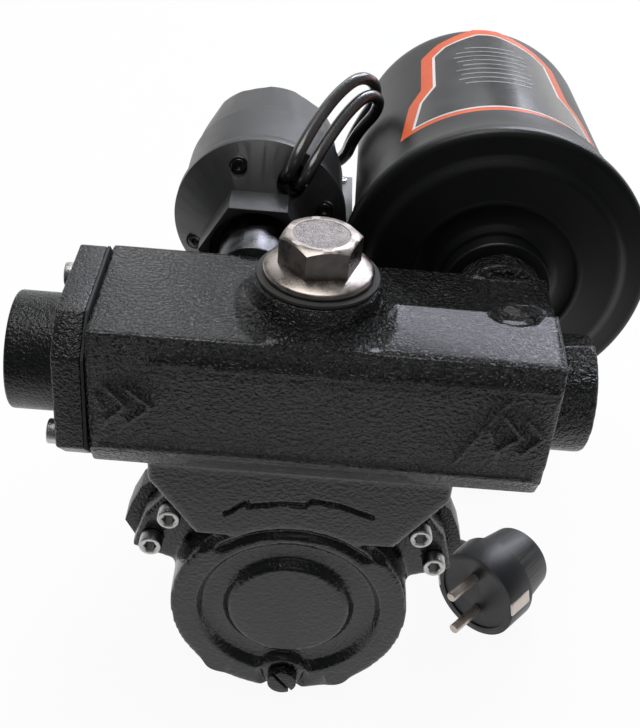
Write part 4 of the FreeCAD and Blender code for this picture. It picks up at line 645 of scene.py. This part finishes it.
def cast_strokes(bm, strokes, face_levels, width, lift):
    """Raises points near the strokes on a face that looks towards -Y, between two levels of Y."""
    depth_from, depth_to = face_levels
    low_x = min(x for stroke in strokes for x, z in stroke) / 1000 - 0.003
    high_x = max(x for stroke in strokes for x, z in stroke) / 1000 + 0.003

    def facing(face):
        centre = face.calc_center_median()
        if not (low_x < centre.x < high_x and depth_from < centre.y < depth_to and face.normal.y < -0.5):
            return False
        return near_line(centre.x, centre.z, strokes) < width + 0.002

    patch = [face for face in bm.faces if facing(face)]
    edges = list({edge for face in patch for edge in face.edges})
    bmesh.ops.subdivide_edges(bm, edges=edges, cuts=1, use_grid_fill=True)
    moved = 0
    for vert in bm.verts:
        if low_x < vert.co.x < high_x and depth_from < vert.co.y < depth_to:
            far = near_line(vert.co.x, vert.co.z, strokes)
            if far < width:
                vert.co.y -= lift * ease(width - far, 0.0, width * 0.55)
                moved += 1
    print("strokes:", len(patch), "faces made finer,", moved, "points moved")


inlet_marks = [[(-77.5, 178.6), (-76.5, 172.3)], [(-74.3, 182.8), (-67.2, 174.5), (-74.1, 166.9)],
               [(-66.8, 182.8), (-57.6, 175.1), (-65.8, 166.9)]]
outlet_marks = [[(67.6, 177.1), (70.0, 172.4)], [(72.9, 183.3), (80.4, 174.3), (72.6, 166.8)],
                [(81.3, 182.5), (88.6, 174.4), (81.8, 166.1)]]
pad_line = [(72.9, 190.5), (57.5, 159.4)]
chamber_face, chamber_side, web_face = (-0.146, -0.139), (-0.146, -0.1375), (-0.1335, -0.1305)
cast_strokes(head, inlet_marks, chamber_face, 0.0012, 0.0009)
cast_strokes(head, outlet_marks, chamber_face, 0.0012, 0.0009)
cast_strokes(head, [pad_line], chamber_face, 0.0011, 0.0006)
turning_arrow = [[(-29.1, 115.1), (-20.8, 122.5), (-19.9, 120.2), (-8.0, 122.6), (3.1, 122.9), (5.5, 125.6),
                  (17.0, 124.0), (30.5, 119.2)]]
cast_strokes(head, turning_arrow, web_face, 0.0013, -0.0016)
chamber_beads = [[(-57.0, 194.2), (15.0, 194.6), (90.0, 195.3)], [(-77.0, 153.4), (88.0, 152.2)]]
for bead in chamber_beads:
    cast_strokes(head, [bead], chamber_side, 0.0014, 0.0005)

# %% Head: thin the flat faces and give it to the pump
def stays_fine(at):
    """The turning arrow and the chamber's top keep every face, so that light runs evenly over them."""
    on_web = abs(at.x) < 0.036 and at.y < -0.130 and 0.106 < at.z < 0.131
    return on_web or (at.x > -0.040 and at.y < -0.095 and at.z > 0.2025)


thinned = [edge for edge in head.edges if not any(stays_fine(vert.co) for vert in edge.verts)]
ends = [vert for vert in head.verts if not stays_fine(vert.co)]
bmesh.ops.dissolve_limit(head, angle_limit=radians(0.5), verts=ends, edges=thinned)
bmesh.ops.triangulate(head, faces=head.faces)
piece_from(head, "cast_head", "pump", "black_casting", [cast_black], ["pump_body"], crease=60.0)

# %% [markdown]
# ## Suction flange
#
# A second, smaller casting, machined where it meets the gasket. Its shape is
# plain enough for rounded edges on a copy of the CAD piece.

# %% Suction flange
flange = merged_copy("suction_flange")
round_edges(flange, 0.0011, segments=3, least=35)
piece_from(flange, "suction_flange_cast", "pump", "black_casting", [cast_smooth], ["suction_flange"])

# %% [markdown]
# ## Socket screws
#
# Zinc-plated cap screws hold the flange, the casing and the motor together. The
# head is spun with a round socket, and the socket's points are then drawn in to
# a hexagon, which is quicker and cleaner than cutting one.


# %% A helper for socket screws
def socket_screw(bm, seat, axis, head_radius, head_height, shank_radius, shank_length, socket):
    """A cap screw whose head stands on seat along axis and whose shank goes the other way."""
    r, h, c = head_radius, head_height, head_radius * 0.12
    shank_end = -shank_length
    profile = [(shank_end, 0.0), (shank_end, shank_radius * 0.8), (shank_end + 0.0008, shank_radius),
               (0.0, shank_radius), (0.0, r - c * 0.4), (c * 0.4, r), (h - c, r), (h - c * 0.35, r - c * 0.3),
               (h, r - c), (h, socket * 1.3), (h - 0.0005, socket), (h * 0.35, socket), (h * 0.35, 0.0)]
    points = lathe(bm, profile, seat, axis, steps=48)
    side = X if abs(axis.x) < 0.5 else Z
    other = axis.cross(side)
    for vert in points:
        offset = vert.co - seat
        along = offset.dot(axis)
        across = offset - axis * along
        if along > h * 0.3 and abs(across.length - socket) < 0.00002:
            turn = atan2(across.dot(other), across.dot(side)) % (pi / 3) - pi / 6
            vert.co = seat + axis * along + across.normalized() * (socket * 0.92 / cos(turn))


def node_places(node):
    """The box of each separate solid of a CAD node, from its merged copy."""
    bm = merged_copy(node)
    seen, places = set(), []
    for first in bm.verts:
        if first in seen:
            continue
        reach, island = [first], [first]
        seen.add(first)
        while reach:
            vert = reach.pop()
            for edge in vert.link_edges:
                other = edge.other_vert(vert)
                if other not in seen:
                    seen.add(other)
                    reach.append(other)
                    island.append(other)
        places.append(span(island))
    bm.free()
    return places


# %% Flange and casing screws
head_height, shank_radius, socket_reach = 0.006, 0.0029, 0.0027


def screw_row(node, name, axis):
    """Cap screws in the places of a CAD node, with their heads towards axis."""
    screws = bmesh.new()
    for low, high in node_places(node):
        middle = (low + high) / 2
        long_side = abs((high - low).dot(axis))
        seat = middle + axis * (long_side / 2 - head_height)
        head_radius = (high.x - low.x if abs(axis.y) > 0.5 else high.y - low.y) / 2
        socket_screw(screws, seat, axis, head_radius, head_height, shank_radius,
                     long_side - 0.0062, socket_reach)
    close_up(screws)
    piece_from(screws, name, "pump", "zinc_plated", [zinc], [node], crease=40)


screw_row("flange_screws", "flange_cap_screws", -X)
screw_row("casing_screws", "casing_cap_screws", -Y)

# %% [markdown]
# ## Hexagons
#
# The filler plug and the switch's union nut are hexagons whose corners are
# turned off, which shows as a circle on the end face. A six-sided ring is
# divided finely, raised ring by ring, and its points dip towards the corners.


# %% A helper for hexagons
def next_ring(bm, ring, move):
    """Extrudes an open ring of edges, moves its new points, and gives the new ring."""
    grown = bmesh.ops.extrude_edge_only(bm, edges=ring)["geom"]
    for item in grown:
        if isinstance(item, bmesh.types.BMVert):
            item.co = move(item.co.copy())
    return [item for item in grown if isinstance(item, bmesh.types.BMEdge)]


def hex_prism(flats, height, circle, turn, dip=0.55, foot_dip=0.0):
    """An open hexagon standing on Z = 0, and the ring of edges at the circle on its top."""
    bm = bmesh.new()
    bmesh.ops.create_circle(bm, cap_ends=False, radius=flats / 2 / cos(pi / 6), segments=6)
    bmesh.ops.subdivide_edges(bm, edges=list(bm.edges), cuts=11)
    bmesh.ops.rotate(bm, verts=bm.verts, cent=(0, 0, 0), matrix=Matrix.Rotation(turn, 3, "Z"))
    ring = list(bm.edges)

    def shoulder(at):
        reach = hypot(at.x, at.y)
        return Vector((at.x, at.y, height - 0.0002 - (reach - circle) * dip))

    def onto_circle(at):
        return Vector((at.x, at.y, 0)).normalized() * circle + Z * height

    if foot_dip:
        for vert in bm.verts:
            vert.co.z = (hypot(vert.co.x, vert.co.y) - circle) * foot_dip
    ring = next_ring(bm, ring, shoulder)
    ring = next_ring(bm, ring, onto_circle)
    return bm, ring


def join_in(bm, other, matrix):
    """Adds another bmesh to bm in its place."""
    other.transform(matrix)
    spare = mesh_from(other, "spare")
    bm.from_mesh(spare)
    bpy.data.meshes.remove(spare)


# %% [markdown]
# ## Filler plug
#
# The pump is primed through this stainless plug. Its flange is spun and its
# head is a forged hexagon, blasted in the middle of its top.

# %% Blasted steel, for the middle of the plug's top
blasted = grained("blasted_steel", (0.23, 0.21, 0.205), (0.40, 0.375, 0.365),
                  0.42, 0.6, 420.0, 1500.0, 0.0003, 0.2, metallic=1.0)

# %% Filler plug
plug_low, plug_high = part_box("filler_plug")
plug_middle = Vector(((plug_low.x + plug_high.x) / 2, (plug_low.y + plug_high.y) / 2, 0))
plug = bmesh.new()
seat_z, flange_z = 0.2210, 0.2256
lathe(plug, [(plug_low.z, 0.0), (plug_low.z, 0.0122), (plug_low.z + 0.001, 0.01315), (seat_z, 0.01315),
             (seat_z, 0.0199), (seat_z + 0.0003, 0.0204), (seat_z + 0.0008, 0.0206),
             (seat_z + 0.0021, 0.0206), (seat_z + 0.0027, 0.0202), (seat_z + 0.0030, 0.0193),
             (flange_z, 0.0158), (flange_z, 0.0)],
      plug_middle, Z, steps=128)
rise = plug_high.z - flange_z
hexagon, ring = hex_prism(0.0270, rise, 0.0129, radians(41.5))
ring = next_ring(hexagon, ring, lambda at: Vector((at.x * 0.82, at.y * 0.82, rise)))
ring = next_ring(hexagon, ring, lambda at: Vector((at.x * 0.98, at.y * 0.98, rise - 0.0002)))
bmesh.ops.contextual_create(hexagon, geom=ring)
close_up(hexagon)
for face in hexagon.faces:
    face.material_index = 1 if len(face.verts) > 8 else 0
join_in(plug, hexagon, Matrix.Translation(plug_middle + Z * (flange_z - 0.0002)))
piece_from(plug, "filler_hex_plug", "filler_plug", "stainless", [stainless, blasted], ["filler_plug"],
           crease=38)

# %% [markdown]
# ## Bought-in pieces with rounded edges
#
# Many pieces have the right shape already. A real edge is never sharp, though,
# and it is the thin highlight along it that makes a piece look made. So these
# are merged copies of the CAD pieces with a small rounding on their edges.


# %% A helper for rounded copies
def rounded(node, name, width, finish_name=None, segments=2, least=32.0, crease=34.0, slot=None):
    bm = merged_copy(node)
    if width:
        round_edges(bm, width, segments=segments, least=least)
    else:
        bmesh.ops.dissolve_limit(bm, angle_limit=radians(0.8), verts=bm.verts, edges=bm.edges)
    slot = slot or slot_of_node[node]
    body = next(group for group, nodes in frame["record"]["behaviour"]["bodies"].items() if node in nodes)
    return piece_from(bm, name, body, slot, [finish_name or finish_of_slot[slot]], [node], crease=crease)


# %% Small pieces of the head
drain_screw = rounded("drain_plug", "drain_screw", 0.0005, cast_smooth, slot="black_casting")
turned = Matrix.Rotation(radians(-38), 4, "Y")
drain_screw.data.transform(Matrix.Translation(drain_middle) @ turned @ Matrix.Translation(-drain_middle))
rounded("filler_washer", "filler_ring", 0.0003)
rounded("suction_gasket", "flange_gasket", 0)

# %% [markdown]
# ## Pressure tank
#
# Two pressings of sheet steel, rolled together at the rim and powder coated. Both
# are bodies of revolution, so each is one profile spun about the tank's axis.
# The profile goes out along the outer face and comes back along the inner one.

# %% Tank front and shell
tank_axis = Vector((0.0748, 0.0, 0.193))
front = metres([
    (-62, 12.1), (-62, 22.8), (-61.8, 23.8), (-60.6, 25.6), (-60.1, 26.8), (-60, 33), (-60.3, 33.8),
    (-60.6, 34.7), (-60.6, 35.6), (-60.3, 36.5), (-60, 37.3), (-60, 50), (-59.7, 51.8), (-58.8, 53.3),
    (-57.7, 54.5), (-57.1, 56), (-57, 62), (-56.7, 63.7), (-55.9, 64.9), (-54.6, 65.5), (-52, 65.5),
    (-50, 65.2), (-48, 64.5), (-40, 62.4), (-30, 61.3), (-26.2, 61.1), (-26, 60.8), (-26, 59.7),
    (-40, 60.9), (-50, 63.7), (-53, 64), (-55, 63.5), (-55.5, 56), (-57, 53), (-58.5, 50), (-58.5, 27),
    (-60, 24), (-60.5, 22.5), (-60.5, 12.1),
])
end_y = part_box("tank_shell")[1].y
back = metres([
    (-34, 59.5), (76, 56.65), (80, 56.3), (84, 55.4), (88.5, 53), (92.5, 49), (96, 42), (98.5, 33),
]) + [
    (end_y, 0.0220), (end_y, 0.0046), (end_y - 0.0015, 0.0046), (end_y - 0.0015, 0.0220),
] + metres([
    (97, 33), (94.6, 41.2), (91.2, 48), (87.3, 51.8), (83, 54), (79, 54.9), (-34, 58),
])
pressings = [("tank_front", front, "tank_front_cover"), ("tank_shell_pressing", back, "tank_shell")]
for name, profile, node in pressings:
    bm = bmesh.new()
    lathe(bm, profile, tank_axis, Y, steps=160, close=True)
    close_up(bm)
    piece_from(bm, name, "pump", "black_sheet", [tank_satin], [node], crease=50)
rounded("tank_nozzle", "tank_collar", 0.0010, tank_satin, segments=3)
rounded("air_valve", "tank_air_valve", 0.0004)

# %% [markdown]
# The tank carries a decorative panel on top: an orange angular frame with a thin
# white line inside and a black field. It is drawn flat, cut into narrow strips,
# and then rolled round the shell, as a real sticker is laid on. The field
# stays plain but for a few grey bars.


# %% Printed finishes for the panel
def print_finish(name, dark, light, gloss, coat):
    return grained(name, dark, light, gloss, gloss + 0.08, 80.0, 2800.0, 0.00001, 0.2,
                   specular=0.3, coat=coat, coat_roughness=0.15)


panel_orange = print_finish("panel_orange", (0.68, 0.085, 0.014), (0.78, 0.13, 0.025), 0.30, 0.05)
panel_white = print_finish("panel_white", (0.70, 0.68, 0.66), (0.80, 0.78, 0.76), 0.30, 0.1)
panel_black = print_finish("panel_black", (0.010, 0.010, 0.011), (0.022, 0.022, 0.024), 0.14, 0.6)
panel_grey = print_finish("panel_grey", (0.24, 0.24, 0.24), (0.34, 0.34, 0.34), 0.24, 0.3)


# %% Tank panel
def shell_radius(along):
    return 0.0595 - 0.00285 * (along + 0.034) / 0.110


def rolled_patch(bm, outline, lift, material_index):
    """A flat outline of (degrees from the top, Y in mm), cut into strips and rolled onto the shell."""
    flat = bmesh.new()
    flat.faces.new([flat.verts.new((turn, along / 1000, 0.0)) for turn, along in outline])
    bmesh.ops.triangulate(flat, faces=flat.faces)
    for turn in range(-57, 60, 3):
        bmesh.ops.bisect_plane(flat, geom=flat.verts[:] + flat.edges[:] + flat.faces[:],
                               plane_co=(turn, 0, 0), plane_no=(1, 0, 0), dist=0.0001)
    for vert in flat.verts:
        turn, along = radians(vert.co.x), vert.co.y
        reach = shell_radius(along) + lift
        vert.co = tank_axis + Vector((reach * sin(turn), along, reach * cos(turn)))
    for face in flat.faces:
        face.material_index = material_index
        if face.normal.dot(face.calc_center_median() - tank_axis) < 0:
            face.normal_flip()
    join_in(bm, flat, Matrix())


half_frame = [(0, 82.5), (-6, 82), (-25, 69), (-33.5, 58), (-35, 20), (-41.6, 8.4), (-47.6, -25.8),
              (-20, -25.4)]
half_line = [(0, 75.5), (-5, 75), (-22, 63), (-28, 54), (-29.3, 17.5), (-36.2, 5.5), (-40.8, -18.5),
             (-20, -19.0)]
half_field = [(0, 74.0), (-4.6, 73.5), (-21, 62), (-26.6, 53.3), (-27.9, 16.8), (-34.8, 4.9),
              (-39.0, -17.2), (-20, -17.5)]


def both_halves(half):
    return half + [(-turn, along) for turn, along in reversed(half[1:])]


bm = bmesh.new()
rolled_patch(bm, both_halves(half_frame), 0.00012, 0)
rolled_patch(bm, both_halves(half_line), 0.00022, 1)
rolled_patch(bm, both_halves(half_field), 0.00032, 2)
for row in range(9):
    low = 10.0 + row * 5.6
    wide = (15.0, 17.5, 16.0, 18.0, 14.5, 17.0, 18.0, 16.5, 12.0)[row]
    rolled_patch(bm, [(-wide, low), (wide * 0.92, low), (wide * 0.92, low + 1.1), (-wide, low + 1.1)],
                 0.00040, 3)
piece_from(bm, "tank_panel", "pump", "black_sheet", [panel_orange, panel_white, panel_black, panel_grey],
           crease=60)

# %% [markdown]
# ## Pressure switch
#
# A grey moulded cap on a conical base, held by a union nut to a nipple. The cap
# is round at its mouth and eight-sided towards its end: it is spun, and then
# each point that lies beyond one of eight flats is drawn in to it.

# %% Switch cap
switch_axis = Vector((-0.026, 0.0, 0.193))
cap_low, cap_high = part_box("switch_cap")
mouth, tip = cap_low.y, cap_high.y
cap_side = metres([
    (0, 33.5), (0, 36), (0.5, 36.5), (34, 36.1), (35, 36), (35.6, 35.8), (36.6, 35.6), (50, 34.6), (64, 33.3),
])
cap_profile = [(mouth + along, radius) for along, radius in cap_side] + [
    (tip - 0.0035, 0.0330), (tip - 0.0020, 0.0325), (tip - 0.0008, 0.0315), (tip, 0.0298), (tip, 0.0),
]
bm = bmesh.new()
lathe(bm, cap_profile, switch_axis, Y, steps=160)
inner_profile = [(mouth, 0.0335), (mouth + 0.034, 0.0330), (tip - 0.006, 0.0300), (tip - 0.003, 0.0275),
                 (tip - 0.003, 0.0)]
lathe(bm, inner_profile, switch_axis, Y, steps=160)
close_up(bm)
flats_from, flat_reach, flat_taper = mouth + 0.0353, 0.0350, 0.0034
for vert in bm.verts:
    offset = vert.co - switch_axis
    reach = hypot(offset.x, offset.z)
    if reach > 0.0300 and flats_from < offset.y < tip - 0.0001:
        share = (offset.y - flats_from) / (tip - flats_from)
        flat = flat_reach - flat_taper * share
        turn = (atan2(offset.x, offset.z) - radians(8)) % (pi / 4) - pi / 8
        limit = flat / cos(turn)
        if reach > limit:
            vert.co.x = switch_axis.x + offset.x * limit / reach
            vert.co.z = switch_axis.z + offset.z * limit / reach
piece_from(bm, "switch_cap_moulding", "pump", "switch_plastic", [switch_grey], ["switch_cap"], crease=24)

# %% Switch base, nut and nipple
rounded("switch_base", "switch_base_moulding", 0.0005, switch_grey, crease=30)
rounded("union_nut", "switch_union_nut", 0.0009, switch_grey, segments=3)
rounded("switch_nipple", "switch_neck", 0.0006, steel_dark)
rounded("switch_screws", "switch_cap_screws", 0.0003, steel_dark)

# %% [markdown]
# ## Motor
#
# The motor is die-cast aluminium with cooling fins, painted black. The pieces
# behind the head are seen from the sides and back of the pump.

# %% Motor pieces
rounded("motor_bracket", "motor_front_bracket", 0.0010)
rounded("motor_housing", "motor_body", 0, crease=28)
rounded("rear_end_shield", "motor_end_shield", 0.0008)
rounded("fan_cover", "motor_fan_cover", 0.0005)
rounded("foot_plate", "motor_foot", 0.0008)
rounded("foot_screws", "foot_cap_screws", 0)
rounded("tie_bolts", "motor_tie_bolts", 0)
rounded("fan_cover_screws", "fan_cover_cap_screws", 0)
rounded("terminal_box", "terminal_box_moulding", 0.0010, segments=3)
rounded("terminal_lid", "terminal_lid_moulding", 0.0010, segments=3)
rounded("lid_screws", "terminal_lid_screws", 0.0002)
rounded("mains_gland", "mains_lead_gland", 0.0004)
rounded("lead_gland", "lead_grommet", 0.0005)

# %% [markdown]
# ## Springs
#
# In the pump, the check valve's and the switch's springs are pressed shorter by
# the piece that slides. Here each is a merged copy of its CAD piece with a mesh
# of its own, at the length the CAD model gives.


# %% Springs
def pressed_spring(node, name):
    piece = rounded(node, name, 0)
    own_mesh(piece)


pressed_spring("check_valve_spring", "valve_coil_spring")
pressed_spring("switch_spring", "switch_coil_spring")

# %% Mains plug
rounded("mains_plug", "mains_plug_moulding", 0.0015, switch_grey, segments=3, slot="switch_plastic")
rounded("plug_contacts", "mains_plug_pins", 0.0004, nickel)
rounded("plug_strain_relief", "mains_plug_boot", 0.0005)
rounded("coil_tie", "mains_coil_tie", 0.0004)

# %% [markdown]
# ## Floor, lamps and sky
#
# The pump stands on a plain pale floor before a white backdrop. The camera and
# mirrors see both nearly white, with only a light shadow on the floor, because
# the shaders ask what kind of ray looks at them; to every other ray the floor
# is a plain pale surface and the sky a dim one, brighter at the back.


# %% A helper for what the camera sees white
def white_to_camera(tree, plain, white, sight, mirrored, surface):
    """Camera and transmission rays see white by the share sight, glossy rays by mirrored."""
    rays = tree.nodes.new("ShaderNodeLightPath")
    clear = maths(tree, "MAXIMUM", rays.outputs["Is Camera Ray"], rays.outputs["Is Transmission Ray"])
    share = maths(tree, "MAXIMUM", maths(tree, "MULTIPLY", clear, sight),
                  maths(tree, "MULTIPLY", rays.outputs["Is Glossy Ray"], mirrored))
    blend = tree.nodes.new("ShaderNodeMixShader")
    tree.links.new(share, blend.inputs[0])
    tree.links.new(plain, blend.inputs[1])
    tree.links.new(white, blend.inputs[2])
    tree.links.new(blend.outputs[0], surface)


# %% Floor
floor = bmesh.new()
bmesh.ops.create_grid(floor, x_segments=2, y_segments=2, size=30.0)
bmesh.ops.translate(floor, verts=floor.verts, vec=(0, 0, -0.0004))
floor_piece = placed("floor", mesh_from(floor, "floor"))
floor_white = bpy.data.materials.new("floor_white")
floor_white.use_nodes = True
tree = floor_white.node_tree
shader = tree.nodes["Principled BSDF"]
shader.inputs["Roughness"].default_value = 0.9
shader.inputs["Specular IOR Level"].default_value = 0.1
glow = add(tree, "ShaderNodeEmission", Color=(1, 1, 1, 1), Strength=1.0)
axes = add(tree, "ShaderNodeSeparateXYZ", in_0=tree.nodes.new("ShaderNodeTexCoord").outputs["Object"])
paper = remap(tree, axes.outputs["Y"], -0.34, -0.25, soft=True)
pale = between(tree, paper, (0.22, 0.22, 0.22, 1.0), (0.80, 0.80, 0.81, 1.0))
tree.links.new(pale, shader.inputs["Base Color"])
white_to_camera(tree, shader.outputs[0], glow.outputs[0], 0.94, maths(tree, "MULTIPLY", paper, 0.80),
                tree.nodes["Material Output"].inputs["Surface"])
floor_piece.data.materials.append(floor_white)


# %% Lamps
def soft_lamp(name, at, towards, width, height, watts, colour):
    lamp = bpy.data.lights.new(name, "AREA")
    lamp.shape = "RECTANGLE"
    lamp.size, lamp.size_y, lamp.energy, lamp.color = width, height, watts, colour
    holder = placed(name, lamp)
    way = Vector(towards) - Vector(at)
    holder.rotation_euler = way.to_track_quat("-Z", "Y").to_euler()
    holder.location = at


lamps = [
    # name, place, towards, width, height, watts, colour
    ("overhead", (-0.15, -0.1, 1.35), (0, 0, 0.1), 0.9, 0.7, 9.0, (1.0, 0.99, 0.97)),
    ("window_right", (0.75, 1.25, 1.05), (0.05, -0.05, 0.2), 0.75, 0.7, 11.0, (0.86, 0.88, 1.0)),
    ("window_left", (-0.25, 1.385, 1.186), (-0.03, -0.12, 0.205), 0.9, 0.6, 4.0, (0.95, 0.97, 1.0)),
    ("window_back", (0.34, 1.18, 1.41), (0.05, -0.12, 0.205), 0.45, 0.35, 9.0, (0.86, 0.87, 1.0)),
    ("fill_front", (0.1, -1.4, 0.9), (0, 0, 0.1), 0.8, 0.5, 0.7, (1.0, 1.0, 1.0)),
]
for lamp in lamps:
    soft_lamp(*lamp)
print(len(lamps), "lamps")

# %% Sky
world = bpy.data.worlds.new("plain_sky")
bpy.context.scene.world = world
world.use_nodes = True
tree = world.node_tree
sky = tree.nodes["Background"]
sky.inputs["Strength"].default_value = 0.30
way = add(tree, "ShaderNodeSeparateXYZ", in_0=tree.nodes.new("ShaderNodeTexCoord").outputs["Generated"])
height = remap(tree, way.outputs["Y"], -0.7, 0.6)
tone = between(tree, height, (0.22, 0.23, 0.24, 1.0), (0.95, 0.97, 1.0, 1.0))
tree.links.new(tone, sky.inputs["Color"])
white = add(tree, "ShaderNodeBackground", Color=(1, 1, 1, 1), Strength=1.0)
backdrop = maths(tree, "MULTIPLY", remap(tree, way.outputs["Z"], 0.30, 0.05),
                 remap(tree, way.outputs["Y"], 0.1, 0.7))
white_to_camera(tree, sky.outputs[0], white.outputs[0], 1.0, backdrop,
                tree.nodes["World Output"].inputs["Surface"])
bpy.context.scene.view_settings.view_transform = "Standard"

# %% [markdown]
# ## Last step
#
# The view layer and the dependency graph are brought up to date.

# %% Bring the scene up to date
bpy.context.view_layer.update()
bpy.context.evaluated_depsgraph_get().update()
